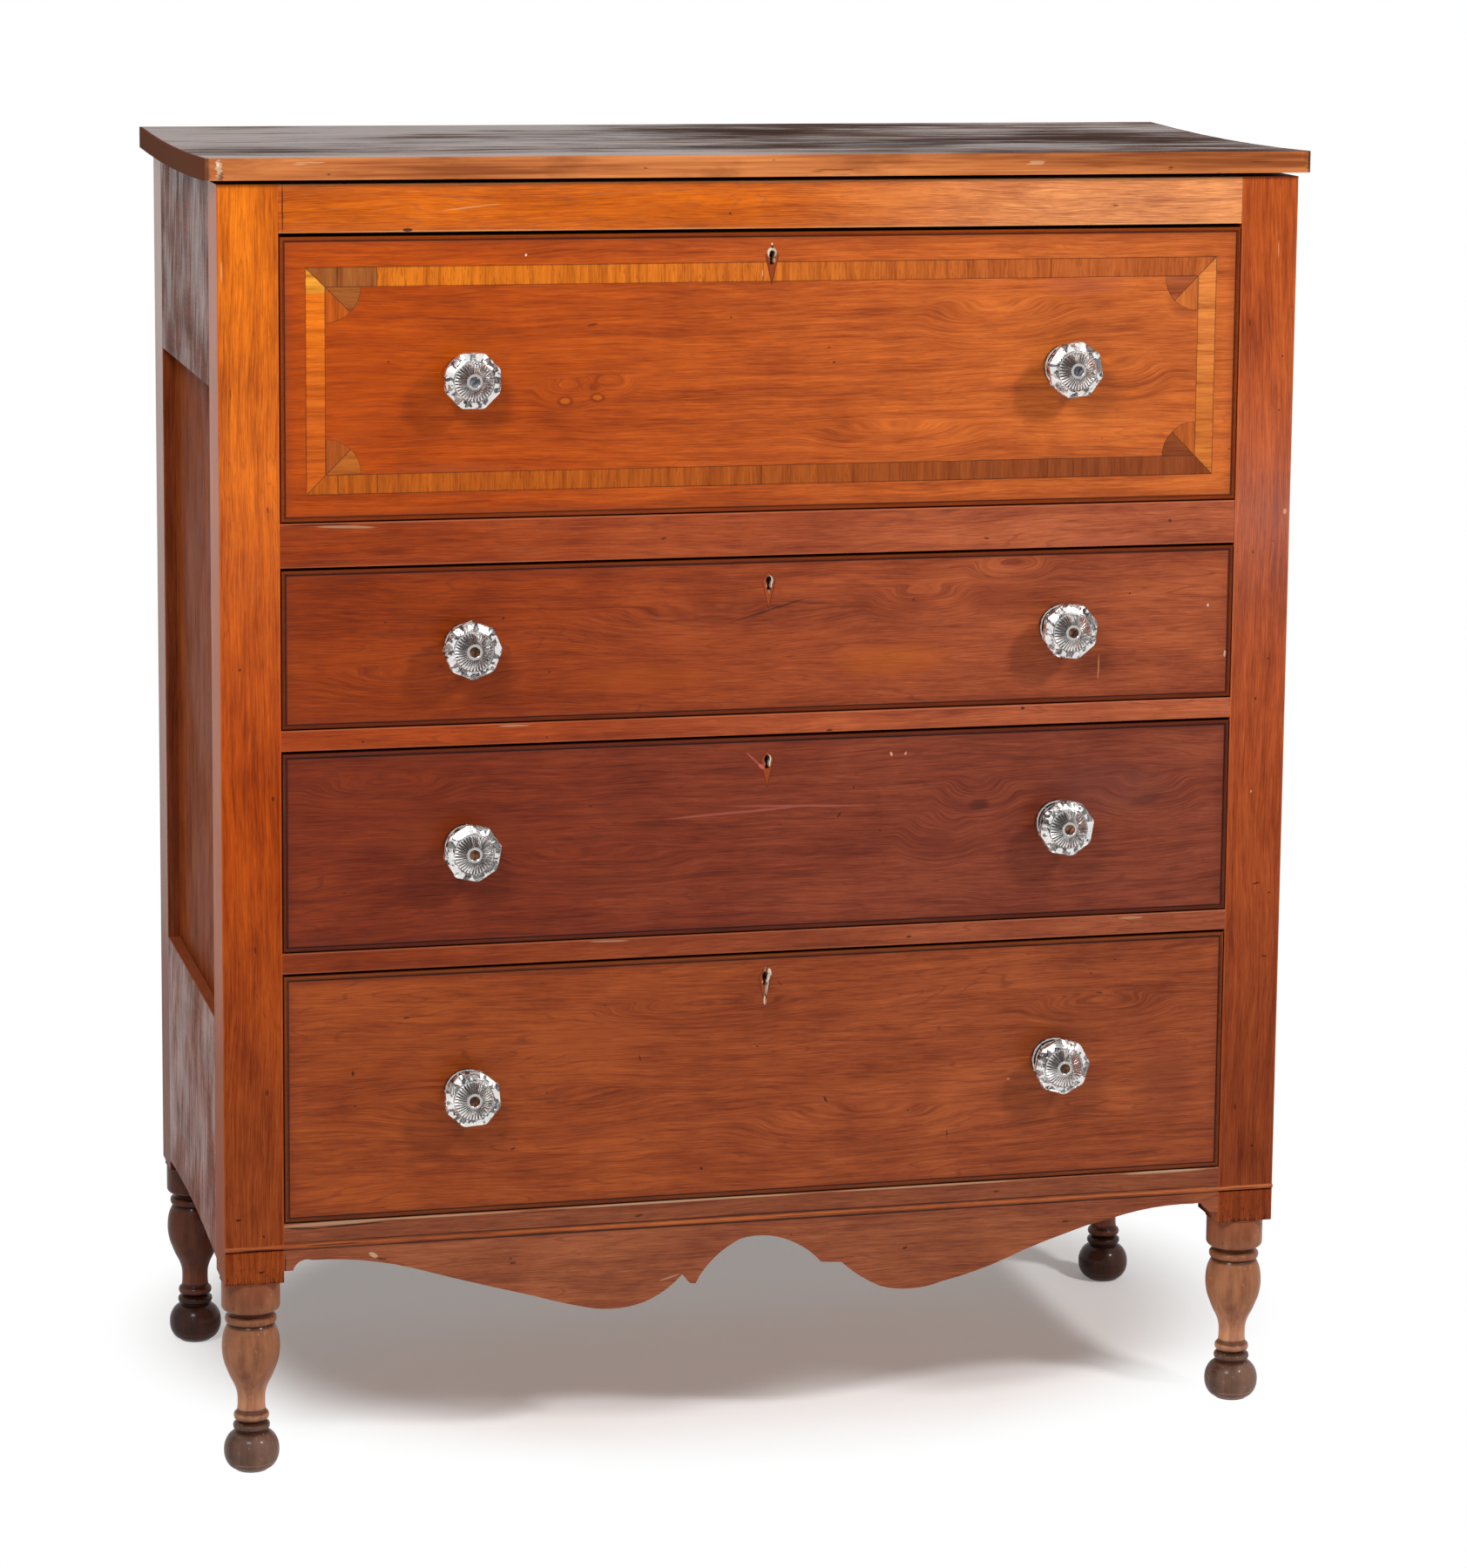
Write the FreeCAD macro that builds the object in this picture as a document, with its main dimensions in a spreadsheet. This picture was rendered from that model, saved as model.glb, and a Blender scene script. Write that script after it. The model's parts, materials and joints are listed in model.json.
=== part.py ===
import FreeCAD, Part
import math
import operator
import os
import Sketcher

# Driving sizes in millimetres: the name, the value and what it measures
DRIVING_SIZES = (
    # Case
    ("case_width", 1020, "case, across the outer faces of the posts"),
    ("case_depth", 457, "case, front face to back face"),
    ("post_width", 55, "post, across the front"),
    ("post_depth", 57, "post, front to back"),
    ("leg_height", 185, "turned part of a post, from the floor"),
    ("ankle_height", 34, "square of the post between the leg and the bottom rail"),
    # Top board
    ("top_thickness", 20, "top board"),
    ("top_side_overhang", 12, "top board past the case at each side"),
    ("top_front_overhang", 8.5, "top board past the case at the front"),
    ("top_back_overhang", 12, "top board past the case at the back"),
    ("top_cup_lift", 3.8, "lift of the cupped top board's front and back edges"),
    ("top_corner_radius", 12, "rounding of the top board's front corners"),
    ("top_seat_gap", 0.1, "clearance under the middle of the cupped top board"),
    # Front rails and the drawer openings between them
    ("top_rail_height", 44, "top front rail"),
    ("top_rail_thickness", 22, "top front rail, front to back"),
    ("upper_divider_height", 40.7, "rail under drawer 1"),
    ("middle_divider_height", 19.3, "rail under drawer 2"),
    ("lower_divider_height", 19.5, "rail under drawer 3"),
    ("bottom_rail_height", 21.6, "rail under drawer 4"),
    ("divider_depth", 70, "rails between the drawers, front to back"),
    ("drawer_1_opening", 262, "height of the opening for drawer 1"),
    ("drawer_2_opening", 149, "height of the opening for drawer 2"),
    ("drawer_3_opening", 187.5, "height of the opening for drawer 3"),
    ("drawer_4_opening", 235.4, "height of the opening for drawer 4"),
    # Mortise and tenon joints
    ("joint_play", 0.15, "clearance round a tenon in its mortise"),
    ("rail_tenon_length", 25, "tenon of a front or rear rail"),
    ("rail_tenon_setback", 8, "front of a divider's tenon behind the case's face"),
    ("rail_tenon_width", 42, "divider's tenon, front to back"),
    ("thin_tenon_width", 10, "tenon of a rail that stands on edge"),
    ("side_tenon_length", 22, "tenon of a side rail"),
    ("side_tenon_thickness", 8, "tenon of a side rail, across"),
    ("side_tenon_shoulder", 20, "shoulder above and below a side rail's tenon"),
    ("runner_tenon_length", 11, "tenon at each end of a runner"),
    ("runner_tenon_width", 16, "runner's tenon, across"),
    # Apron and base bead
    ("apron_thickness", 20, "apron board"),
    ("apron_drop", 80, "apron, from its top edge to the lowest point of the scroll"),
    ("apron_tenon_height", 13, "apron's tenon"),
    ("base_bead_height", 4.2, "half-round bead over the apron joint"),
    ("base_bead_projection", 2.4, "half-round bead past the case's face"),
    # Side frames
    ("side_rail_thickness", 24, "side rail"),
    ("upper_side_rail_height", 187, "upper side rail"),
    ("lower_side_rail_height", 229, "lower side rail at its ends"),
    ("side_rail_clearance", 10, "lower side rail above the turned leg"),
    ("side_arch_rise", 7, "rise of the arch under the lower side rail"),
    ("panel_thickness", 8, "side panel"),
    ("panel_recess", 12, "side panel behind the faces of its frame"),
    ("panel_groove_depth", 8, "groove that holds the side panel"),
    ("panel_play", 0.3, "clearance between the panel and the bottom of its groove"),
    # Back
    ("back_board_thickness", 12, "back board"),
    ("back_rabbet_width", 12, "rabbet in the rear post for the back boards"),
    ("back_board_gap", 1.2, "gap between two back boards"),
    ("rear_rail_thickness", 22, "rear rail, front to back"),
    # Runners and guides
    ("runner_reach", 26, "runner past the post's inner face, under the drawer side"),
    ("guide_height", 18, "strip on the runner that guides the drawer side"),
    ("running_gap", 0.3, "drawer side above its runner"),
    # Drawers
    ("front_thickness", 21, "drawer front"),
    ("front_side_gap", 1.3, "gap at each end of a drawer front"),
    ("front_bottom_gap", 1.6, "gap below a drawer front"),
    ("front_top_gap", 2.7, "gap above drawers 2, 3 and 4"),
    ("shrunk_top_gap", 3.6, "gap above drawer 1"),
    ("side_thickness", 12, "drawer side"),
    ("side_drop", 2, "top of a drawer side below the top of its front"),
    ("drawer_back_thickness", 11, "drawer back"),
    ("drawer_back_clearance", 13, "drawer short of the back boards"),
    ("dovetail_lap", 7, "wood of the front left over the ends of the tails"),
    ("pin_width", 5, "narrow side of a dovetail pin"),
    ("bottom_groove_lift", 9, "groove for the bottom above the edge of the side"),
    ("bottom_groove_width", 5, "groove for the bottom"),
    ("bottom_groove_depth", 5, "groove for the bottom"),
    ("bottom_thickness", 9, "drawer bottom in its middle"),
    ("bottom_bevel_width", 32, "bevel that thins the bottom's edges"),
    ("bottom_play", 0.3, "clearance of the bottom in its groove"),
    # Cock beads
    ("cock_bead_width", 3.4, "cock bead, across its rounded edge"),
    ("cock_bead_depth", 6.4, "rabbet for the cock bead"),
    ("cock_bead_projection", 1.4, "cock bead past the drawer front"),
    # Inlays: a kite round each keyhole, and the banding of drawer 1
    ("inlay_thickness", 1.2, "inlaid veneer"),
    ("kite_width", 13, "kite round a keyhole, across"),
    ("kite_peak", 9, "kite's top corner above the keyhole's centre"),
    ("kite_tail", 28, "kite's tip below the keyhole's centre"),
    ("band_width", 18, "inlaid band"),
    ("band_side_margin", 22.7, "band from the end of the drawer front"),
    ("band_top_margin", 27, "band from the top of the drawer front"),
    ("band_bottom_margin", 24, "band from the bottom of the drawer front"),
    ("fan_radius", 32.5, "quarter fan in each inner corner of the band"),
    # Glass knobs and their bolts
    ("knob_spacing", 568, "between the two knobs of a drawer"),
    ("knob_width", 51, "octagonal head, across its flats"),
    ("knob_reach", 41, "knob, from the drawer front to its face"),
    ("knob_base_width", 43, "round foot of a knob"),
    ("knob_base_thickness", 4.5, "round foot of a knob at its edge"),
    ("knob_neck_width", 24, "waist of a knob"),
    ("knob_neck_reach", 15, "waist of a knob, from the drawer front"),
    ("bolt_width", 5.2, "shank of a knob's bolt"),
    ("bolt_play", 0.4, "clearance round a knob's bolt"),
    ("bolt_head_width", 9, "countersunk head of a knob's bolt"),
    ("bolt_head_height", 3.4, "countersunk head of a knob's bolt"),
    ("bolt_tail", 2.6, "bolt past its nut"),
    ("bolt_slot_width", 1.2, "screwdriver slot"),
    ("bolt_slot_depth", 1.5, "screwdriver slot"),
    ("nut_width", 13, "square nut on a knob's bolt"),
    ("nut_thickness", 5, "square nut on a knob's bolt"),
    # Locks
    ("lock_axis_drop", 21, "keyhole's centre below the top of the drawer front"),
    ("lock_plate_width", 62, "back plate and top plate of the lock"),
    ("lock_plate_thickness", 1.6, "plates of the lock"),
    ("lock_case_width", 48, "lock case"),
    ("lock_case_depth", 10.5, "lock case, front to back"),
    ("lock_case_below", 17, "lock case below the keyhole's centre"),
    ("lock_wall", 2, "wall of the lock case"),
    ("lock_play", 0.4, "clearance round the sliding lock bolt"),
    ("lock_bolt_width", 18, "sliding lock bolt"),
    ("lock_bolt_thickness", 5, "sliding lock bolt"),
    ("lock_travel", 9, "rise of the lock bolt when it is locked"),
    ("keyhole_width", 5.6, "round part of the keyhole"),
    ("keyhole_slot_width", 3.8, "slot of the keyhole"),
    ("keyhole_drop", 8.6, "slot's end below the keyhole's centre"),
    # Every cut runs past the faces that it opens
    ("overrun", 3, "overrun of a cut"),
)

# Shares of the piece that each belongs to
DOVETAIL_SLOPE_SHARE = 1 / 6
TENON_HEIGHT_SHARE = 0.6
NOSE_BEVEL_SHARE = 0.3
HALF_DIAGONAL_SHARE = math.sqrt(2) / 2

# Turned leg from the floor up: shares of half the post's width, and of the leg's height
BALL_FOOT_SHARES = ((0.56, 0), (0.83, 0.04), (0.938, 0.1), (0.83, 0.16))
LOWER_RING_SHARES = ((0.53, 0.206), (0.604, 0.226), (0.455, 0.254))
WAIST_SHARES = ((0.593, 0.285), (0.468, 0.335), (0.468, 0.405), (0.607, 0.453))
VASE_SHARES = ((0.822, 0.524), (0.955, 0.583), (1, 0.643), (0.967, 0.708), (0.79, 0.759))
UPPER_RING_SHARES = ((0.865, 0.793), (0.727, 0.822))
SQUARE_END_SHARES = ((0.9, 0.838), (1, 0.865), (1, 1))
LEG_PROFILE_SHARES = (
    *BALL_FOOT_SHARES, *LOWER_RING_SHARES, *WAIST_SHARES, *VASE_SHARES, *UPPER_RING_SHARES, *SQUARE_END_SHARES
)

# Apron's lower edge: shares of half the opening from the middle, and of the apron's drop.
# Every second point lies on the arc between its neighbours.
LEFT_SCROLL_SHARES = (
    (-1, 0.288), (-0.982, 0.288), (-0.975, 0.218), (-0.943, 0.176),
    (-0.855, 0.206), (-0.74, 0.342), (-0.62, 0.557), (-0.484, 0.779),
    (-0.43, 0.876), (-0.372, 0.962), (-0.312, 1), (-0.252, 0.943),
    (-0.21, 0.824), (-0.171, 0.635),
)
LEFT_SPUR_SHARES = ((-0.154, 0.75), (-0.142, 0.757), (-0.134, 0.667), (-0.101, 0.448), (-0.046, 0.245))
ARCH_SHARES = ((0.007, 0.225), (0.059, 0.306), (0.094, 0.42), (0.127, 0.592))
RIGHT_SCROLL_SHARES = (
    (0.171, 0.612), (0.209, 0.787), (0.255, 0.937), (0.318, 0.995), (0.389, 0.931),
    (0.473, 0.811), (0.569, 0.607), (0.67, 0.42), (0.765, 0.281),
    (0.855, 0.186), (0.945, 0.168), (0.973, 0.215), (0.98, 0.281), (1, 0.288),
)

# Octagonal head of a glass knob in front of its waist: shares of half its width and of its reach
KNOB_HEAD_SHARES = ((1, 0.62), (1, 0.76), (0.8, 0.87), (0.36, 1))

TAIL_COUNTS = (5, 3, 4, 5)
BACK_BOARD_COUNT = 5
KNOB_SIDE_COUNT = 8
FULL_TURN = 360
BROKEN_KITES = ("drawer_4",)
LEFT, RIGHT = -1, 1
SIDE_NAMES = {LEFT: "left", RIGHT: "right"}
ARITHMETIC = {"+": operator.add, "-": operator.sub, "*": operator.mul, "/": operator.truediv}

doc = FreeCAD.newDocument("chest_of_drawers")
sheet = doc.addObject("Spreadsheet::Sheet", "sizes")
for row, (alias, value, meaning) in enumerate(DRIVING_SIZES, start=1):
    sheet.set(f"A{row}", meaning)
    sheet.set(f"B{row}", str(value))
    sheet.setAlias(f"B{row}", alias)
doc.recompute()


class Size:
    """A length together with the expression over the sheet that gives it."""

    def __init__(self, value, text):
        self.value = value
        self.text = text

    def __add__(self, other):
        return worked_out(self, "+", other)

    def __radd__(self, other):
        return worked_out(other, "+", self)

    def __sub__(self, other):
        return worked_out(self, "-", other)

    def __rsub__(self, other):
        return worked_out(other, "-", self)

    def __mul__(self, other):
        return worked_out(self, "*", other)

    def __rmul__(self, other):
        return worked_out(other, "*", self)

    def __truediv__(self, other):
        return worked_out(self, "/", other)

    def __neg__(self):
        return worked_out(0, "-", self)


def as_size(number):
    return number if isinstance(number, Size) else Size(number, f"{number:.6g}")


def worked_out(first, sign, second):
    """Adds, subtracts, multiplies or divides two sizes, the values and the expressions alike."""
    first = as_size(first)
    second = as_size(second)
    return Size(ARITHMETIC[sign](first.value, second.value), f"({first.text} {sign} {second.text})")


class Sizes:
    """The sheet's sizes by name."""

    def __init__(self, rows):
        for alias, value, _ in rows:
            setattr(self, alias, Size(value, f"sizes.{alias}"))


S = Sizes(DRIVING_SIZES)


def in_order(span):
    return sorted(map(as_size, span), key=lambda edge: edge.value)


def grown(span, play):
    low, high = in_order(span)
    return (low - play, high + play)


def centred(middle, width):
    return (middle - width / 2, middle + width / 2)


def along(start, end, share):
    return start + (end - start) * share


def box(name, *spans):
    """A squared block that fills one span on each axis."""
    item = doc.addObject("Part::Box", name)
    for axis, side, span in zip("xyz", ("Length", "Width", "Height"), spans):
        low, high = in_order(span)
        item.setExpression(f"Placement.Base.{axis}", low.text)
        item.setExpression(side, (high - low).text)
    return item


def joined(name, pieces):
    item = doc.addObject("Part::MultiFuse", name)
    item.Shapes = pieces
    item.Refine = True
    return item


def without(name, base, tools):
    """The base with every tool cut out of it."""
    item = doc.addObject("Part::Cut", name)
    item.Base = base
    item.Tool = tools[0] if len(tools) == 1 else grouped(f"{name}_tools", tools)
    item.Refine = True
    return item


def grouped(name, pieces):
    """Separate solids that share one node."""
    item = doc.addObject("Part::Compound", name)
    item.Links = pieces
    return item


def move_to(item, *position):
    for axis, size in zip("xyz", position):
        item.setExpression(f"Placement.Base.{axis}", as_size(size).text)


class Through(tuple):
    """A point that the arc between its two neighbours passes through."""


def draw(sketch, loops):
    """Draws closed loops of straight edges and arcs whose points are all bound to sizes."""
    held = []

    def hold(geometry, end, point):
        for direction, size in zip(("DistanceX", "DistanceY"), point):
            number = sketch.addConstraint(
                Sketcher.Constraint(direction, -1, 1, geometry, end, float(as_size(size).value))
            )
            held.append((number, as_size(size).text))

    def position(point):
        return FreeCAD.Vector(*[as_size(size).value for size in point], 0)

    for loop in loops:
        corners = [place for place, point in enumerate(loop) if not isinstance(point, Through)]
        edges = []
        for place, following in zip(corners, corners[1:] + [len(loop)]):
            start, end = loop[place], loop[following % len(loop)]
            if following - place == 1:
                line = Part.LineSegment(position(start), position(end))
                edges.append((sketch.addGeometry(line, False), 1, 2))
                continue
            middle = loop[place + 1]
            bend = (position(middle) - position(start)).cross(position(end) - position(start)).z
            ends = (start, end) if bend > 0 else (end, start)
            arc = Part.Arc(position(ends[0]), position(middle), position(ends[1]))
            edge = sketch.addGeometry(arc, False)
            edges.append((edge, 1, 2) if bend > 0 else (edge, 2, 1))
            guide = sketch.addGeometry(Part.Point(position(middle)), True)
            sketch.addConstraint(Sketcher.Constraint("PointOnObject", guide, 1, edge))
            hold(guide, 1, middle)
        for number, (edge, start_end, finish_end) in enumerate(edges):
            following, next_start, _ = edges[(number + 1) % len(edges)]
            sketch.addConstraint(Sketcher.Constraint("Coincident", edge, finish_end, following, next_start))
            hold(edge, start_end, loop[corners[number]])
    for number, text in held:
        sketch.setExpression(f"Constraints[{number}]", text)


def sketched(body, plane, loops, offset):
    sketch = body.newObject("Sketcher::SketchObject", f"{body.Name}_outline")
    flats = [feature for feature in body.Origin.OriginFeatures if feature.Role == plane]
    sketch.AttachmentSupport = [(flats[0], "")]
    sketch.MapMode = "FlatFace"
    sketch.setExpression("AttachmentOffset.Base.z", as_size(offset).text)
    draw(sketch, loops)
    return sketch


def prism(name, plane, loops, span):
    """Loops in a plane, drawn out over a span square to it."""
    body = doc.addObject("PartDesign::Body", name)
    start, end = in_order(span)
    backwards = plane == "XZ_Plane"
    pad = body.newObject("PartDesign::Pad", f"{name}_pad")
    sketch = sketched(body, plane, loops, -start if backwards else start)
    pad.Profile = sketch
    pad.Reversed = backwards
    pad.setExpression("Length", (end - start).text)
    body.Tip = pad
    return body


def turned(body, loop):
    """A profile of radius and height, turned about the body's own upright axis."""
    sketch = sketched(body, "XZ_Plane", [loop], 0)
    revolution = body.newObject("PartDesign::Revolution", f"{body.Name}_turning")
    revolution.Profile = sketch
    revolution.ReferenceAxis = (sketch, ["V_Axis"])
    revolution.Angle = FULL_TURN
    body.Tip = revolution
    return body


def facing_front(item, *position, spin=0):
    """Lays an upright item down, so that its axis points out of the front of the chest."""
    laid_down = FreeCAD.Rotation(FreeCAD.Vector(1, 0, 0), FULL_TURN / 4)
    about_axis = FreeCAD.Rotation(FreeCAD.Vector(0, 0, 1), spin)
    item.Placement = FreeCAD.Placement(FreeCAD.Vector(), laid_down * about_axis)
    move_to(item, *position)
    return item


def cylinder(name, radius, height):
    item = doc.addObject("Part::Cylinder", name)
    item.setExpression("Radius", radius.text)
    item.setExpression("Height", height.text)
    return item


# Each node's plain shape, what is joined to it, and what is cut out of it
blanks = {}
tenons = {}
sockets = {}


def joint(piece, host, *spans):
    """A tenon on one piece, and the mortise with its clearance in the other."""
    number = len(tenons.setdefault(piece, [])) + 1
    tenons[piece].append(box(f"{piece}_tenon_{number}", *spans))
    hollow(host, *[grown(span, S.joint_play) for span in spans])


def hollow(host, *spans):
    number = len(sockets.setdefault(host, [])) + 1
    sockets[host].append(box(f"{host}_hollow_{number}", *spans))


def cut_out(host, tool):
    sockets.setdefault(host, []).append(tool)


# Places that the pieces share. The origin is under the middle of the whole object.
half_width = S.case_width / 2
half_opening = half_width - S.post_width
face = (S.knob_reach - S.case_depth - S.top_back_overhang) / 2
rear = face + S.case_depth
post_back = face + S.post_depth
rear_post_front = rear - S.post_depth
side_inner = half_width - S.side_rail_thickness
board_front = rear - S.back_board_thickness
rear_rail_front = board_front - S.rear_rail_thickness

base_level = S.leg_height + S.ankle_height


class Opening:
    """The place of one drawer, over the rail that its front stands above."""

    def __init__(self, rail, rail_height, rail_base, height):
        self.rail = rail
        self.rail_height = rail_height
        self.rail_base = rail_base
        self.floor = rail_base + rail_height
        self.top = self.floor + height


def stacked(rows):
    """Openings from the base up, each with its rail standing on the opening below."""
    level = base_level
    openings = []
    for rail, rail_height, height in rows:
        openings.append(Opening(rail, rail_height, level, height))
        level = openings[-1].top
    return openings


OPENINGS = stacked((
    ("bottom_front_rail", S.bottom_rail_height, S.drawer_4_opening),
    ("lower_divider_rail", S.lower_divider_height, S.drawer_3_opening),
    ("middle_divider_rail", S.middle_divider_height, S.drawer_2_opening),
    ("upper_divider_rail", S.upper_divider_height, S.drawer_1_opening),
))
top_rail_base = OPENINGS[-1].top
case_top = top_rail_base + S.top_rail_height
lower_rail_base = S.leg_height + S.side_rail_clearance
lower_rail_top = lower_rail_base + S.lower_side_rail_height
upper_rail_base = case_top - S.upper_side_rail_height


def post_name(side, end):
    return f"{end}_{SIDE_NAMES[side]}_post"


def make_post(side, end):
    """A square post whose foot is turned into a leg, in one piece of wood."""
    name = post_name(side, end)
    radius = S.post_width / 2
    axis_y = face + radius if end == "front" else rear - radius
    body = doc.addObject("PartDesign::Body", f"{name}_blank")
    inward = S.post_depth - radius
    depth = (-radius, inward) if end == "front" else (-inward, radius)
    square = [(-radius, depth[0]), (radius, depth[0]), (radius, depth[1]), (-radius, depth[1])]
    pad = body.newObject("PartDesign::Pad", f"{name}_square")
    pad.Profile = sketched(body, "XY_Plane", [square], S.leg_height)
    pad.setExpression("Length", (case_top - S.leg_height).text)

    profile = [(radius * across, S.leg_height * up) for across, up in LEG_PROFILE_SHARES]
    profile = [(0, 0), *profile, (0, S.leg_height)]
    turned(body, profile)
    move_to(body, side * (half_width - radius), axis_y, 0)
    blanks[name] = body


def make_front_rail(name, base, height, depth, tenon_span):
    """A rail across the front, tenoned into both front posts."""
    width = (-half_opening, half_opening)
    blanks[name] = box(f"{name}_blank", width, (face, face + depth), (base, base + height))
    for side in (LEFT, RIGHT):
        joint(
            name,
            post_name(side, "front"),
            (side * half_opening, side * (half_opening + S.rail_tenon_length)),
            tenon_span,
            centred(base + height / 2, height * TENON_HEIGHT_SHARE),
        )


def make_front_rails():
    edge_tenon = centred(face + S.top_rail_thickness / 2, S.thin_tenon_width)
    flat_tenon = (face + S.rail_tenon_setback, face + S.rail_tenon_setback + S.rail_tenon_width)
    make_front_rail("top_front_rail", top_rail_base, S.top_rail_height, S.top_rail_thickness, edge_tenon)
    for opening in OPENINGS:
        make_front_rail(opening.rail, opening.rail_base, opening.rail_height, S.divider_depth, flat_tenon)


def make_apron():
    """The apron's scrolled edge, with the spur that is left on one side of the arch."""

    def at(shares):
        return (half_opening * shares[0], base_level - S.apron_drop * shares[1])

    def curve(shares, first_bend):
        """Corners, with every second point from first_bend on as a point on an arc."""
        return [
            Through(at(pair)) if place >= first_bend and (place - first_bend) % 2 == 0 else at(pair)
            for place, pair in enumerate(shares)
        ]

    outline = [(-half_opening, base_level), *curve(LEFT_SCROLL_SHARES, 2)]
    outline += [at(LEFT_SPUR_SHARES[0]), *curve(LEFT_SPUR_SHARES[1:], 2)]
    outline += [*curve(ARCH_SHARES, 0), *curve(RIGHT_SCROLL_SHARES[:-1], 1)]
    outline += [at(RIGHT_SCROLL_SHARES[-1]), (half_opening, base_level)]
    depth = (face, face + S.apron_thickness)
    blanks["front_apron"] = prism("front_apron_blank", "XZ_Plane", [outline], depth)
    for side in (LEFT, RIGHT):
        joint(
            "front_apron",
            post_name(side, "front"),
            (side * half_opening, side * (half_opening + S.rail_tenon_length)),
            centred(face + S.apron_thickness / 2, S.thin_tenon_width),
            (base_level - S.joint_play - S.apron_tenon_height, base_level - S.joint_play),
        )


def make_base_bead():
    """A half-round bead across the case and both posts, over the joint of rail and apron."""
    radius = S.base_bead_height / 2
    shoulder = face - S.base_bead_projection + radius
    section = [
        (face, base_level - radius),
        (face, base_level + radius),
        (shoulder, base_level + radius),
        Through((face - S.base_bead_projection, base_level)),
        (shoulder, base_level - radius),
    ]
    blanks["base_bead"] = prism("base_bead_blank", "YZ_Plane", [section], (-half_width, half_width))


def make_side_frame(side):
    """Upper and lower side rails, and the thin panel in the grooves of the frame, which it returns."""
    word = SIDE_NAMES[side]
    outer, inner = side * half_width, side * side_inner
    front_post, rear_post = post_name(side, "front"), post_name(side, "rear")
    across = (inner, outer)
    arch = [
        (post_back, lower_rail_top),
        (post_back, lower_rail_base),
        Through((along(post_back, rear_post_front, 0.5), lower_rail_base + S.side_arch_rise)),
        (rear_post_front, lower_rail_base),
        (rear_post_front, lower_rail_top),
    ]
    lower, upper = f"{word}_lower_side_rail", f"{word}_upper_side_rail"
    blanks[lower] = prism(f"{lower}_blank", "YZ_Plane", [arch], across)
    blanks[upper] = box(f"{upper}_blank", across, (post_back, rear_post_front), (upper_rail_base, case_top))
    panel_outer = side * (half_width - S.panel_recess)
    panel_across = (panel_outer, panel_outer - side * S.panel_thickness)
    groove_depth = (post_back - S.panel_groove_depth, rear_post_front + S.panel_groove_depth)
    groove_height = (lower_rail_top - S.panel_groove_depth, upper_rail_base + S.panel_groove_depth)
    for host in (lower, upper):
        hollow(host, panel_across, groove_depth, groove_height)
    for host in (front_post, rear_post):
        hollow(host, panel_across, groove_depth, groove_height)
    panel = box(
        f"{word}_side_panel",
        panel_across,
        grown(groove_depth, -S.panel_play),
        grown(groove_height, -S.panel_play),
    )
    tenon_across = centred(side * (half_width - S.side_rail_thickness / 2), S.side_tenon_thickness)
    for rail, base, top in ((lower, lower_rail_base, lower_rail_top), (upper, upper_rail_base, case_top)):
        height = (base + S.side_tenon_shoulder, top - S.side_tenon_shoulder)
        joint(rail, front_post, tenon_across, (post_back, post_back - S.side_tenon_length), height)
        joint(rail, rear_post, tenon_across, (rear_post_front, rear_post_front + S.side_tenon_length), height)
    return panel


def make_back():
    """Two rear rails, and boards that lie in the rabbets of the rear posts."""
    levels = {"top": (top_rail_base, case_top), "bottom": (base_level, OPENINGS[0].floor)}
    width, depth = (-half_opening, half_opening), (rear_rail_front, board_front)
    rails = []
    for word, (base, top) in levels.items():
        rails.append(box(f"rear_{word}_rail_blank", width, depth, (base, top)))
        for side in (LEFT, RIGHT):
            spans = (
                (side * half_opening, side * (half_opening + S.rail_tenon_length)),
                centred(along(*depth, 0.5), S.thin_tenon_width),
                centred(along(base, top, 0.5), (top - base) * TENON_HEIGHT_SHARE),
            )
            rails.append(box(f"rear_{word}_{SIDE_NAMES[side]}_tenon", *spans))
            hollow(post_name(side, "rear"), *[grown(span, S.joint_play) for span in spans])
    blanks["rear_rails"] = joined("rear_rails_blank", rails)
    board_edge = half_opening + S.back_rabbet_width
    for side in (LEFT, RIGHT):
        hollow(
            post_name(side, "rear"),
            (side * (half_opening - S.overrun), side * board_edge),
            (board_front, rear + S.overrun),
            (lower_rail_base, case_top + S.overrun),
        )
    pitch = (case_top - lower_rail_base) / BACK_BOARD_COUNT
    boards = [
        box(
            f"back_board_{number + 1}",
            (-board_edge, board_edge),
            (board_front, rear),
            (lower_rail_base + pitch * number, lower_rail_base + pitch * (number + 1) - S.back_board_gap),
        )
        for number in range(BACK_BOARD_COUNT)
    ]
    blanks["back_boards"] = grouped("back_boards_blank", boards)


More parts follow.
